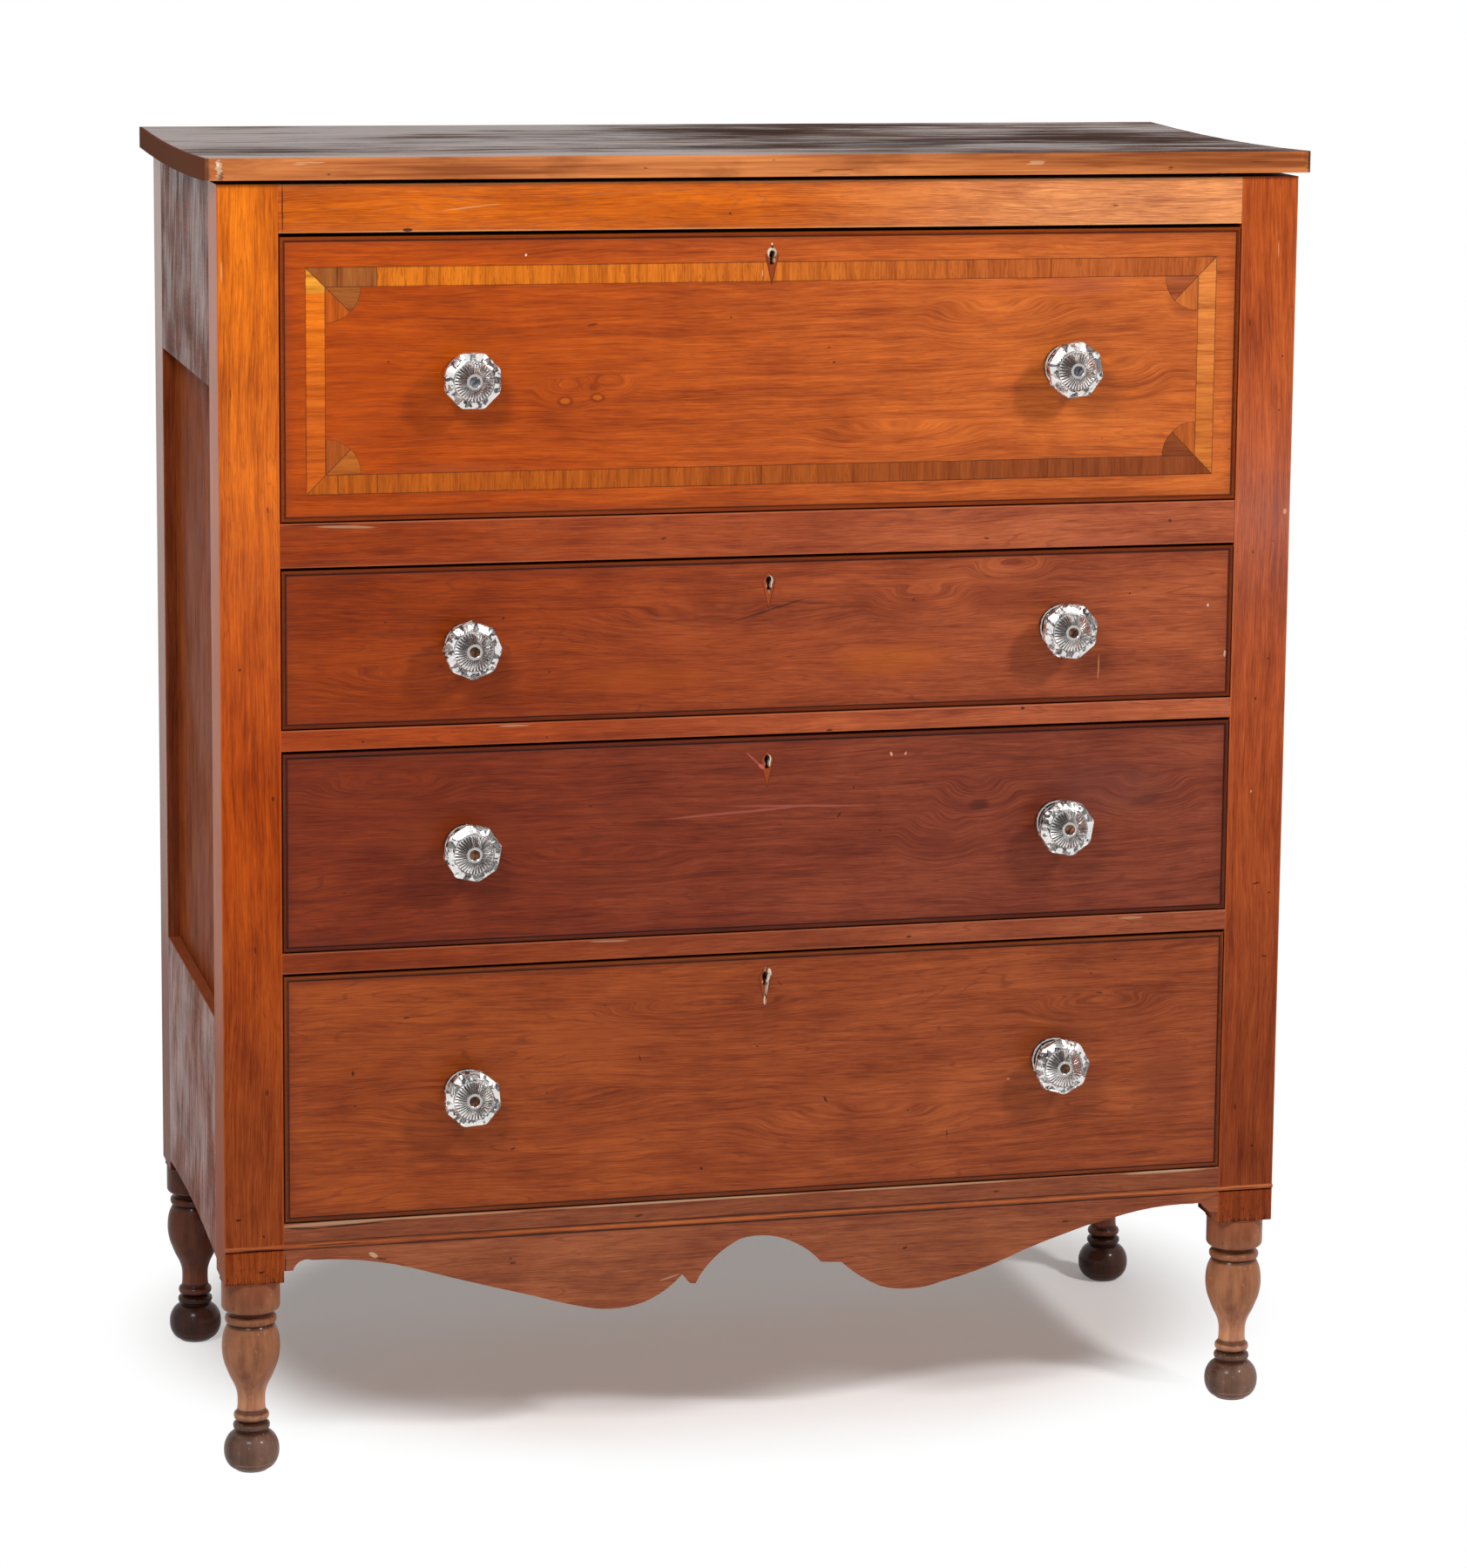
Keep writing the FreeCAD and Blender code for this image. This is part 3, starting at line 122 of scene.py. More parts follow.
class Finish:
    """The nodes of a material or of the world, with short calls for what the finishes share."""

    def __init__(self, owner):
        self.owner = owner
        owner.use_nodes = True
        self.tree = owner.node_tree
        self.tree.nodes.clear()

    def node(self, kind, settings=None, values=None, output=0):
        """A node of any kind: its settings first, then the values or wires of its sockets.

        The output is a socket's name or number, or a tuple of them that gives as many wires.
        """
        node = self.tree.nodes.new(kind)
        for key, value in (settings or {}).items():
            if key == "stops":
                ramp = node.color_ramp
                while len(ramp.elements) < len(value):
                    ramp.elements.new(1)
                for element, (position, colour) in zip(ramp.elements, value):
                    element.position = position
                    element.color = (*colour, 1)
            else:
                setattr(node, key, value)
        for key, value in (values or {}).items():
            if isinstance(value, Wire):
                self.tree.links.new(value.socket, node.inputs[key])
            else:
                node.inputs[key].default_value = value
        if isinstance(output, tuple):
            return [Wire(self, node.outputs[name]) for name in output]
        return Wire(self, node.outputs[output]) if node.outputs else None

    def place(self):
        """Object coordinates in metres, as three wires."""
        return self.parts(self.node("ShaderNodeTexCoord", output="Object"))

    def parts(self, vector):
        return self.node("ShaderNodeSeparateXYZ", {}, {0: vector}, ("X", "Y", "Z"))

    def spot(self, x, y, z):
        return self.node("ShaderNodeCombineXYZ", {}, {0: x, 1: y, 2: z})

    def noise(self, place, scale=1.0, detail=2.0, rough=0.5):
        values = {"Vector": self.spot(*place), "Scale": scale, "Detail": detail, "Roughness": rough}
        return self.node("ShaderNodeTexNoise", {}, values)

    def specks(self, place, scale, edge, core, share, jitter=0):
        """Scattered round specks, in the cells whose random number is past a share."""
        voronoi = {"Vector": self.spot(*place), "Scale": scale}
        distance, colour = self.node("ShaderNodeTexVoronoi", {}, voronoi, ("Distance", "Color"))
        pick = self.node("ShaderNodeSeparateColor", {}, {0: colour})
        return self.rise(distance + jitter, edge, core) * self.rise(pick, share, share + 0.02)

    def rise(self, value, low, high):
        """0 below low and 1 above high, smooth between; low may be the larger."""
        settings = {"interpolation_type": "SMOOTHSTEP"}
        if low < high:
            return self.node("ShaderNodeMapRange", settings,
                             {"Value": value, "From Min": low, "From Max": high})
        values = {"Value": value, "From Min": high, "From Max": low, "To Min": 1.0, "To Max": 0.0}
        return self.node("ShaderNodeMapRange", settings, values)

    def ramp(self, value, *stops):
        return self.node("ShaderNodeValToRGB", {"stops": stops}, {0: value})

    def mix(self, factor, first, second, blend="MIX"):
        """Colours mixed by a factor."""
        settings = {"data_type": "RGBA", "blend_type": blend, "clamp_factor": True}
        first, second = (value if isinstance(value, Wire) else (*value, 1) for value in (first, second))
        return self.node("ShaderNodeMix", settings, {0: factor, 6: first, 7: second}, 2)

    def graded(self, axes, tone):
        """A plain colour, or one that changes along an axis, as a wire or colour and its middle value."""
        if not isinstance(tone[0], str):
            return linear(tone), linear(tone)
        rows = [(place * MM, linear(colour)) for place, colour in tone[1]]
        body = rows[0][1]
        for (start, _), (end, colour) in zip(rows, rows[1:]):
            body = self.mix(self.rise(axes[tone[0]], start, end), body, colour)
        return body, rows[len(rows) // 2][1]

    def figured(self, body, value, low, high):
        """A colour darkened and lightened by a value round 0.5, through a ramp that stays below 1."""
        middle = (RAMP_GREY,) * 3
        strength = self.ramp(value, (0.15, toned(middle, *low)), (0.5, middle), (0.85, toned(middle, *high)))
        colour = self.mix(1.0, strength, body, "MULTIPLY")
        return self.mix(1.0, colour, (1 / RAMP_GREY,) * 3, "MULTIPLY")

    def marked(self, colour, axes, marks, jitter):
        """A colour with rows of elliptical marks: place, radii, tilt, softness, colour and strength."""
        for place, radii, tilt, soft, shade, strength in marks:
            u_axis, v_axis = ("x", "z") if len(place) == 2 else (place[2][0], place[2][1])
            mask = self.patch(axes[u_axis] + jitter, axes[v_axis] + jitter * 0.6, place[:2], radii,
                              tilt, soft)
            colour = self.mix(mask * strength, colour, screen(shade))
        return colour

    def bump(self, height, distance):
        return self.node("ShaderNodeBump", {}, {"Height": height, "Strength": 1.0, "Distance": distance},
                         "Normal")

    def patch(self, across, up, centre, radii, tilt=0.0, soft=0.4):
        """A mask of one ellipse in the plane of across and up, in millimetres."""
        turn = math.radians(tilt)
        u = across - centre[0] * MM
        v = up - centre[1] * MM
        major = (u * math.cos(turn) + v * math.sin(turn)) / (radii[0] * MM)
        minor = (v * math.cos(turn) - u * math.sin(turn)) / (radii[1] * MM)
        return self.rise(major * major + minor * minor, 1 + soft, 1 - soft)

    def done(self, colour, roughness, normal=None, coat=None, metallic=0.0, **plain):
        """The shader: wires where they vary, and plain numbers on its own sockets."""
        values = {"Base Color": colour, "Roughness": roughness, "Metallic": metallic}
        if normal is not None:
            values["Normal"] = normal
        if coat is not None:
            values["Coat Weight"] = coat
        values.update({key.replace("_", " "): value for key, value in plain.items()})
        return self.show(self.node("ShaderNodeBsdfPrincipled", {}, values))

    def show(self, surface):
        """Sends a shader to the material's output."""
        self.node("ShaderNodeOutputMaterial", {}, {"Surface": surface})
        return self.owner

    def seen(self):
        """1 for what the camera, a reflection or glass shows, and 0 for what only lights other surfaces."""
        rays = ("Is Camera Ray", "Is Glossy Ray", "Is Transmission Ray", "Diffuse Depth")
        camera, glossy, through, bounces = self.node("ShaderNodeLightPath", {}, {}, rays)
        return (camera.most(glossy).most(through) - bounces).most(0)


def linear(colour):
    """Scene-linear values of a colour as a screen shows it."""
    return tuple(c / 12.92 if c <= 0.04045 else ((c + 0.055) / 1.055) ** 2.4 for c in colour)


def screen(colour):
    """Scene-linear values of a colour given in steps of 255."""
    return linear(tuple(c / 255 for c in colour))


def toned(colour, factor, shift=(1.0, 1.0, 1.0)):
    return tuple(min(1.0, c * factor * s) for c, s in zip(colour, shift))


def around(*rows):
    """Noises added up round 0.5, each with its strength."""
    return sum(((noise - 0.5) * strength for noise, strength in rows), 0.5)


def new_finish(name):
    return Finish(bpy.data.materials.new(name))


# Finishes

# Middle of the ramps that darken and lighten a wood, which can't go past 1
RAMP_GREY = 0.62


def timber(name, tone, grain, seed, figure=1.0, contrast=1.0, edges=None, marks=(), polish=0.0, dents=1.0,
           gloss=0.25, grime=0.6, shine=0.1, groove=None, knots=(), faces=()):
    """Old cherry under a worn shellac, with its grain along the first of the three named axes.

    The tone is one colour, or an axis and rows of (millimetres along it, colour) where it changes along the
    piece. Edges are rows of (axis, low, high) for grime, wear and the painted shade of the bead's groove, and
    faces are outer faces in a paler tone, a painted sheen, and more gloss.
    """
    finish = new_finish(name)
    x, y, z = finish.place()
    axes = {"x": x, "y": y, "z": z}
    body, base = finish.graded(axes, tone)
    outer = None
    # Painted sheen: an outer face takes a paler tone for the light it catches, and more gloss.
    for letter, place, shade, gleam in faces:
        mask = finish.rise(abs(axes[letter] - place), 0.0012, 0.0005)
        body = finish.mix(mask, body, linear(shade))
        outer = mask * gleam
    along, across, through = (axes[letter] + seed * step for letter, step in zip(grain, (3.7, 1.9, 0.83)))

    drift = finish.noise((along * 2.0, across * 7, through * 6), detail=3.0, rough=0.55) - 0.5
    lane = across + drift * 0.04
    for place, radii in knots:
        lane = lane + finish.patch(x, z, place, radii, 0, 1.0) * 0.012
    bands = finish.noise((along * 4.5, lane * 150, through * 60), detail=5.0, rough=0.68)
    fibre = finish.noise((along * 34, lane * 950, through * 500), detail=2.0, rough=0.6)
    pores = finish.noise((along * 110, across * 1900, through * 900), detail=1.0)
    cloud = finish.noise((along * 10, lane * 22, through * 12), detail=4.0, rough=0.62)
    field = finish.noise((along * 1.7, lane * 17, through * 9), detail=3.0, rough=0.5)
    rings = (field * 170).sine()
    lines = finish.rise(rings, 0.84, 1.0) * finish.rise(cloud, 0.44, 0.6)

    value = around((bands, contrast), (fibre, 1.15 * contrast), (cloud, contrast))
    colour = finish.figured(body, value, (0.56, (1.0, 0.84, 0.95)), (1.42, (1.0, 1.16, 1.1)))
    dark = toned(base, 0.36, (1.0, 0.8, 0.9))
    colour = finish.mix(lines * (0.36 * figure), colour, dark)
    colour = finish.mix(finish.rise(pores, 0.62, 0.74) * 0.4, colour, dark)

    pits = finish.specks((x, y, z * 1.4), 34.0, 0.046, 0.026, 0.66) * dents
    knocks = finish.specks((x + 0.3, y, z * 2.6), 13.0, 0.036, 0.02, 0.6, (bands - 0.5) * 0.05) * dents
    colour = finish.mix(pits * 0.85, colour, toned(base, 0.12))
    colour = finish.mix(knocks * 0.75, colour, toned(base, 0.16))
    rub = finish.noise((along * 14, across * 900, through * 120), detail=1.0)
    zone = finish.noise((along * 3.1, across * 8, through * 8), detail=1.0)
    scratches = finish.rise(rub, 0.7, 0.76) * finish.rise(zone, 0.5, 0.62)
    colour = finish.mix(scratches * 0.28, colour, toned(base, 1.9, (1.0, 1.25, 1.6)))

    if edges is not None:
        distance = None
        for letter, low, high in edges:
            reach = (axes[letter] - low).least(high - axes[letter])
            distance = reach if distance is None else distance.least(reach)
        ragged = distance + (cloud - 0.5) * 0.004 + (bands - 0.5) * 0.004
        colour = finish.mix(finish.rise(ragged, 0.016, 0.0) * grime * 0.5, colour,
                            toned(base, 0.5, (1, 0.75, 0.8)))
        if groove is None:
            worn = finish.rise(distance + (bands - 0.5) * 0.004, 0.0018, 0.0004)
            colour = finish.mix(worn * 0.4, colour, toned(base, 1.7, (1.0, 1.3, 1.5)))
        else:
            # Painted shade: a near-black line in the groove just inside the bead.
            painted_groove_shade = finish.rise(distance, groove + 0.0017, groove + 0.0009)
            colour = finish.mix(painted_groove_shade * 0.92, colour, toned(base, 0.08))

    colour = finish.marked(colour, axes, marks, (bands - 0.5) * 0.003)

    coat = (0.55 + (cloud - 0.5) * 0.5) * gloss
    roughness = 0.42 + (bands - 0.5) * 0.2 + (zone - 0.5) * 0.25 + pits * 0.2
    if polish:
        haze = finish.noise((y * 210 + z * 40, x * 20, z * 14 + drift), detail=5.0, rough=0.74)
        sheen = finish.noise((y * 10, x, z * 7), detail=3.0, rough=0.6)
        level = (haze - 0.5) * 2.2 + (sheen - 0.5) * 2.0 + y * 0.8
        coat = coat + (0.16 + finish.rise(level, -0.36, 0.44) * 0.84) * polish
    if outer is not None:
        coat = coat + outer
    height = fibre * 0.35 + bands * 0.3 - pits * 1.5 - knocks * 2.0 - finish.rise(pores, 0.62, 0.76) * 0.2
    normal = finish.bump(height, 0.00022)
    return finish.done(colour, roughness, normal, coat, Specular_IOR_Level=shine, Coat_Roughness=0.22)


def poplar(name, tone, grain, seed):
    """Plain secondary wood, sawn and planed, browned by age."""
    finish = new_finish(name)
    base = linear(tone)
    axes = dict(zip("xyz", finish.place()))
    along, across, through = (axes[letter] + seed for letter in grain)
    bands = finish.noise((along * 1.5, across * 38, through * 25), detail=4.0, rough=0.6)
    fibre = finish.noise((along * 12, across * 420, through * 260), detail=2.0)
    stain = finish.noise((along * 3, across * 5, through * 5), detail=3.0, rough=0.6)
    saw = finish.noise((along * 260, across * 3, through * 3), detail=1.0)
    value = around((bands, 0.9), (fibre, 0.5), (stain, 0.9), (saw, 0.12))
    darkest = toned(base, 0.55, (1.0, 0.86, 0.74))
    colour = finish.ramp(value, (0.15, darkest), (0.5, base), (0.85, toned(base, 1.25)))
    normal = finish.bump(fibre * 0.5 + saw * 0.4 + bands * 0.3, 0.0003)
    return finish.done(colour, 0.72 + (bands - 0.5) * 0.2, normal, Specular_IOR_Level=0.25)


def veneer(name, tones, seed, crossing, ticks=1.0, patches=(), marks=()):
    """Inlaid satin-pale wood of the banded front, in four tones: top left, top right, foot left, foot right.

    Crossing is the axis that its grain runs along, x or z. The joints between the inlaid pieces are drawn
    from the pattern's own measures.
    """
    finish = new_finish(name)
    x, y, z = finish.place()
    along, across = (z, x) if crossing == "z" else (x, z)
    along, across = along + seed, across + seed * 0.37
    bands = finish.noise((along * 6, across * 130, y * 10), detail=4.0, rough=0.66)
    fibre = finish.noise((along * 40, across * 800, y * 50), detail=2.0, rough=0.6)
    strips = finish.noise((along * 75, across * 620, y * 10), detail=2.0, rough=0.6)
    thin = finish.rise(strips, 0.56, 0.66)
    right = finish.rise(x, -0.3, 0.35)
    top_left, top_right, foot_left, foot_right = (toned(screen(tone), 0.88) for tone in tones)
    upper = finish.mix(right, top_left, top_right)
    lower = finish.mix(right, foot_left, foot_right)
    body = finish.mix(finish.rise(z, 0.97, 1.08), lower, upper)
    value = around((bands, 1.3), (fibre, 0.8))
    for (low_x, high_x, low_z, high_z), shade in patches:
        inside = (x - low_x * MM).least(high_x * MM - x).least(z - low_z * MM).least(high_z * MM - z)
        mask = finish.rise(inside, -0.0001, 0.0001)
        body = finish.mix(mask, body, toned(screen(shade), 0.88))
        thin = thin * (1 - mask * 0.85)
    colour = finish.figured(body, value, (0.62, (1.0, 0.85, 0.8)), (1.28, (1.0, 1.1, 1.15)))
    colour = finish.mix(thin * 0.5 * ticks, colour, toned(top_left, 0.36, (1.0, 0.75, 0.9)))

    joint = finish.rise(inlay_seam(finish, x, z) + (fibre - 0.5) * 0.0006, 0.0008, 0.0003)
    colour = finish.mix(joint * 0.62, colour, linear((0.2, 0.09, 0.04)))
    colour = finish.marked(colour, {"x": x, "y": y, "z": z}, marks, (bands - 0.5) * 0.003)
    normal = finish.bump(fibre * 0.4 - thin * 0.3 - joint, 0.00015)
    return finish.done(colour, 0.42 + (bands - 0.5) * 0.15, normal, 0.08, Specular_IOR_Level=0.1,
                       Coat_Roughness=0.22)


# Where the banding's strips butt, across
BAND_JOINTS = (-366 * MM, -8.2 * MM, -402 * MM, 268 * MM)


def inlay_seam(finish, x, z):
    """Distance to the nearest joint in the inlay: outlines, mitres, the fans' arcs and butt joints."""
    low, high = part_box("drawer_1_inlay")
    from_end = high.x - abs(x)
    nearest = (BAND_TOP - z).least(z - low.z)
    inward, upward = from_end - BAND_WIDTH, nearest - BAND_WIDTH
    inner = from_end.least(nearest)
    arc = abs((inward * inward + upward * upward) ** 0.5 - FAN_RADIUS) + finish.rise(
        inward.least(upward), 0.001, 0)
    seam = abs(from_end - nearest).least(arc).least(abs(inner - BAND_WIDTH)).least(abs(inner - 0.0002))
    for place in BAND_JOINTS:
        seam = seam.least(abs(x - place) + finish.rise(nearest, BAND_WIDTH, BAND_WIDTH + 0.001))
    return seam


def kite_wood(name, tone, peak, marks):
    """The kite let in at a keyhole, with a thin dark outline and its chips."""
    finish = new_finish(name)
    base = linear(tone)
    x, y, z = finish.place()
    bands = finish.noise((x * 260, y * 10, z * 12 + peak * 9), detail=3.0, rough=0.6)
    colour = finish.figured(base, around((bands, 1.4)), (0.6, (1.0, 0.85, 0.9)), (1.3, (1.0, 1.1, 1.1)))
    drop = peak - z
    above, below = KITE_HALF_WIDTH / KITE_SHOULDER, KITE_HALF_WIDTH / (KITE_HEIGHT - KITE_SHOULDER)
    half = (drop * above).least((KITE_HEIGHT - drop) * below)
    rim = finish.rise(half - abs(x), 0.0011, 0.0004)
    colour = finish.mix(rim * 0.7, colour, toned(base, 0.16))
    colour = finish.marked(colour, {"x": x, "y": y, "z": z}, marks, (bands - 0.5) * 0.002)
    normal = finish.bump(bands * 0.4 - rim, 0.00015)
    return finish.done(colour, 0.42 + (bands - 0.5) * 0.15, normal, 0.08, Specular_IOR_Level=0.1,
                       Coat_Roughness=0.22)


# How much light a knob lets through to what is behind it
KNOB_SHADOW = (0.2, 0.2, 0.2)


def pressed_glass(name, tone, flutes):
    """Clear pressed glass, with painted highlights and painted dark reflections on its flutes, ridges and
    facets.
    """
    finish = new_finish(name)
    x, y, z = finish.place()
    wave = finish.noise((x, y, z), scale=180.0, detail=1.0)
    normal = finish.bump(wave, 0.00012)
    tint = finish.mix(wave * 0.2, linear(tone), (0.9, 0.93, 0.92))
    values = {"Base Color": tint, "Roughness": 0.015 + wave * 0.02, "Normal": normal}
    glass = finish.node("ShaderNodeBsdfPrincipled", {}, {**values, "Transmission Weight": 1.0, "IOR": 1.5})

    # Painted highlights and painted dark reflections: a metal, white or near-black, mixed over the glass by
    # these masks.
    light, shadow = painted_knob_glints(finish, x, z, flutes)
    painted_glint_tone = finish.mix(shadow, (0.93, 0.92, 0.9), (0.07, 0.05, 0.045))
    values = {"Base Color": painted_glint_tone, "Metallic": 1.0, "Roughness": 0.22}
    flash = finish.node("ShaderNodeBsdfPrincipled", {}, values)
    both = finish.node("ShaderNodeMixShader", {}, {0: light.most(shadow) * 0.8, 1: glass, 2: flash})

    clear = finish.node("ShaderNodeBsdfTransparent", {}, {"Color": (*KNOB_SHADOW, 1)})
    shade_ray, bounces = finish.node("ShaderNodeLightPath", {}, {}, ("Is Shadow Ray", "Diffuse Depth"))
    unseen = shade_ray.most(bounces).least(1)
    return finish.show(finish.node("ShaderNodeMixShader", {}, {0: unseen, 1: both, 2: clear}))


def painted_knob_glints(finish, x, z, flutes):
    """Masks of a knob's painted highlights and dark reflections, from its own place in millimetres: across, up
    and out.
    """
    place = finish.node("ShaderNodeAttribute", {"attribute_name": "knob_place"}, output="Vector")
    u, v, reach = finish.parts(place)
    radius = (u * u + v * v) ** 0.5
    angle = finish.node("ShaderNodeMath", {"operation": "ARCTAN2"}, {0: v, 1: u})
    wheel = finish.noise((angle.sine() * 2.2 + x * 30, (angle + 1.5708).sine() * 2.2, z * 9), detail=2.0)
    spark = finish.noise((angle * 5, radius * 0.22, x * 50 + z * 70), detail=2.0, rough=0.6)
    front = finish.rise(reach, 36.6, 37.2)
    rosette = front * finish.rise(radius, 6.9, 7.6) * finish.rise(radius, 18.2, 17.4)
    flute = (angle * flutes).sine() + (spark - 0.5) * 0.9 + (wheel - 0.5) * 2.6
    flute_glint = finish.rise(flute, 0.05, 0.5) * rosette
    dark = finish.rise((angle * flutes + 2.2).sine() + (wheel - 0.5) * -5.0, 0.75, 1.15) * rosette
    ring = front * (finish.rise(radius, 17.3, 17.9) * finish.rise(radius, 19.2, 18.6) * 0.7)
    collar = finish.rise(reach, 38.5, 39.5) * finish.rise(radius, 7.6, 6.9) * 0.6
    rim = finish.rise(radius, 18.6, 19.4) * finish.rise(reach, 24.5, 25.5)
    segment = finish.noise((angle * 3.4, radius * 0.24 + reach * 0.2, x * 30 + z * 50), detail=2.0)
    rim_glint = finish.rise(segment, 0.47, 0.55) * rim
    rim_dark_reflection = finish.rise(segment, 0.43, 0.37) * rim
    foot = finish.rise(reach, 5.5, 4.5) * finish.rise(radius, 16.5, 18.0)
    foot_glint = foot * finish.rise((radius * 1.9).sine() + (spark - 0.5) * 2, 0.1, 0.6)
    light = flute_glint.most(ring).most(collar).most(rim_glint).most(foot_glint)
    return light, (dark * 0.9).most(rim_dark_reflection * 0.75)


def old_metal(name, tone, dull, seed):
    """Steel, copper or brass darkened by age, brighter where it is rubbed."""
    finish = new_finish(name)
    base = linear(tone)
    x, y, z = finish.place()
    spots = finish.noise((x + seed, y, z), scale=500.0, detail=2.0, rough=0.5)
    broad = finish.noise((x + seed, y, z), scale=140.0, detail=2.0)
    dark = linear(dull)
    colour = finish.ramp(around((spots, 0.5), (broad, 0.9)), (0.2, toned(dark, 0.6)), (0.5, dark),
                         (0.75, base))
    normal = finish.bump(spots, 0.00005)
    return finish.done(colour, 0.4 + (spots - 0.5) * 0.3, normal, metallic=0.85 + (broad - 0.5) * 0.2)


# Modelling

def settle():
    """Object mode with nothing selected."""
    if bpy.context.object and bpy.context.object.mode != "OBJECT":
        bpy.ops.object.mode_set(mode="OBJECT")
    bpy.ops.object.select_all(action="DESELECT")


def take(piece):
    """Selects one piece alone and makes it active."""
    settle()
    piece.select_set(True)
    bpy.context.view_layer.objects.active = piece


def edit(piece):
    take(piece)
    bpy.ops.object.mode_set(mode="EDIT")
    bpy.ops.mesh.select_all(action="SELECT")


def loose_copy(node):
    """A copy of a CAD node's mesh as it is, without a material."""
    piece = bpy.data.objects.new(f"{node}_dressed", frame["nodes"][node].data.copy())
    bpy.context.scene.collection.objects.link(piece)
    piece.data.materials.clear()
    return piece


def merge(piece, keep=frozenset()):
    """Merges loose triangles into closed skins with whole flat faces, keeping the borders that are named."""
    edit(piece)
    bpy.ops.mesh.remove_doubles(threshold=MERGE)
    bpy.ops.mesh.dissolve_limited(angle_limit=FLAT, delimit=set(keep))
    bpy.ops.object.mode_set(mode="OBJECT")


def copied(node):
    piece = loose_copy(node)
    merge(piece)
    return piece


def soften(piece, width, least_length, segments=2):
    """Rounds the sharp edges that are longer than least_length."""
    take(piece)
    mesh = piece.data
    shape = bmesh.new()
    shape.from_mesh(mesh)
    weight = shape.edges.layers.float.new("bevel_weight_edge")
    for edge in shape.edges:
        sharp = len(edge.link_faces) == 2 and edge.calc_face_angle() > SHARP
        edge[weight] = 1.0 if sharp and edge.calc_length() > least_length else 0.0
    shape.to_mesh(mesh)
    shape.free()
    modifier = piece.modifiers.new("arris", "BEVEL")
    modifier.width = width
    modifier.segments = segments
    modifier.limit_method = "WEIGHT"
    modifier.use_clamp_overlap = True
    modifier.harden_normals = False
    bpy.ops.object.modifier_apply(modifier=modifier.name)


def smooth(piece, angle=32):
    """Smooth shading below an angle, with the flat faces kept flat up to their rounded edges."""
    take(piece)
    bpy.ops.object.shade_smooth_by_angle(angle=math.radians(angle))
    modifier = piece.modifiers.new("flat faces", "WEIGHTED_NORMAL")
    modifier.keep_sharp = True
    modifier.weight = 100
    bpy.ops.object.modifier_apply(modifier=modifier.name)


def finish_piece(piece, material, node):
    """Gives a piece any material it needs, hangs it on its CAD node's body and hides that node."""
    if material is not None:
        piece.data.materials.clear()
        piece.data.materials.append(material)
    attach(piece, BODY_OF[node])
    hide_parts(node)


def dressed(node, material, width, least_length=0.008, angle=32, segments=2):
    """A CAD piece with its edges eased, standing for its node."""
    piece = copied(node)
    soften(piece, width, least_length, segments)
    smooth(piece, angle)
    finish_piece(piece, material, node)


def flowing(points, steps):
    """A smooth line through points: a Catmull-Rom spline with some steps between two points."""
    line = []
    ends = [points[0], *points, points[-1]]
    for number in range(len(points) - 1):
        p0, p1, p2, p3 = (Vector(p) for p in ends[number:number + 4])
        for step in range(steps):
            t = step / steps
            line.append(0.5 * (
                2 * p1 + (p2 - p0) * t + (2 * p0 - 5 * p1 + 4 * p2 - p3) * t * t
                + (3 * p1 - p0 - 3 * p2 + p3) * t * t * t
            ))
    line.append(Vector(points[-1]))
    return line


def turned(name, profile, steps):
    """A piece turned on the lathe about the upright axis, from (radius, height) points."""
    settle()
    bpy.ops.mesh.primitive_plane_add(size=0.01)
    piece = bpy.context.object
    piece.name = name
    bpy.ops.object.mode_set(mode="EDIT")
    bpy.ops.mesh.select_all(action="SELECT")
    bpy.ops.mesh.merge(type="CENTER")
    bpy.ops.transform.translate(value=(profile[0][0], 0, profile[0][1]))
    for start, end in zip(profile, profile[1:]):
        move = (end[0] - start[0], 0, end[1] - start[1])
        bpy.ops.mesh.extrude_region_move(TRANSFORM_OT_translate={"value": move})
    bpy.ops.mesh.select_all(action="SELECT")
    bpy.ops.mesh.spin(steps=steps, angle=2 * math.pi, center=(0, 0, 0), axis=(0, 0, 1))
    bpy.ops.mesh.select_all(action="SELECT")
    bpy.ops.mesh.remove_doubles(threshold=0.001 * MM)
    bpy.ops.mesh.normals_make_consistent(inside=False)
    bpy.ops.object.mode_set(mode="OBJECT")
    return piece


def own_copy(piece, name, matrix):
    """A copy with its own mesh, moved by a matrix that goes into the mesh."""
    copy = bpy.data.objects.new(name, piece.data.copy())
    bpy.context.scene.collection.objects.link(copy)
    copy.data.transform(matrix)
    return copy


def drop(piece):
    bpy.data.objects.remove(piece)


def joined(pieces):
    """One object from several, named as the first."""
    settle()
    for piece in pieces:
        piece.select_set(True)
    bpy.context.view_layer.objects.active = pieces[0]
    bpy.ops.object.join()
    return pieces[0]


# Sizes and colours

def length(name, value, description):
    return bpy.props.FloatProperty(name=name, description=description, default=value, unit="LENGTH", min=0)


def shade(name, red, green, blue, description):
    default = (red / 255, green / 255, blue / 255)
    return bpy.props.FloatVectorProperty(
        name=name, description=description, default=default, subtype="COLOR_GAMMA", size=3, min=0, max=1
    )


class ChestSizes(bpy.types.PropertyGroup):
    arris: length("Arris", 0.0009, "Rounding of the worn edges of posts and rails")
    top_round: length("Top edge", 0.0024, "Rounding of the top board's edges")
    fine_arris: length("Fine arris", 0.0003, "Rounding of small edges")
    leg_height: length("Leg height", 0.185, "Turned leg below the square post")
    leg_steps: bpy.props.IntProperty(name="Leg steps", description="Faces round a turned leg", default=72)
    flutes: bpy.props.IntProperty(name="Flutes", description="Flutes pressed into a knob's face", default=36)


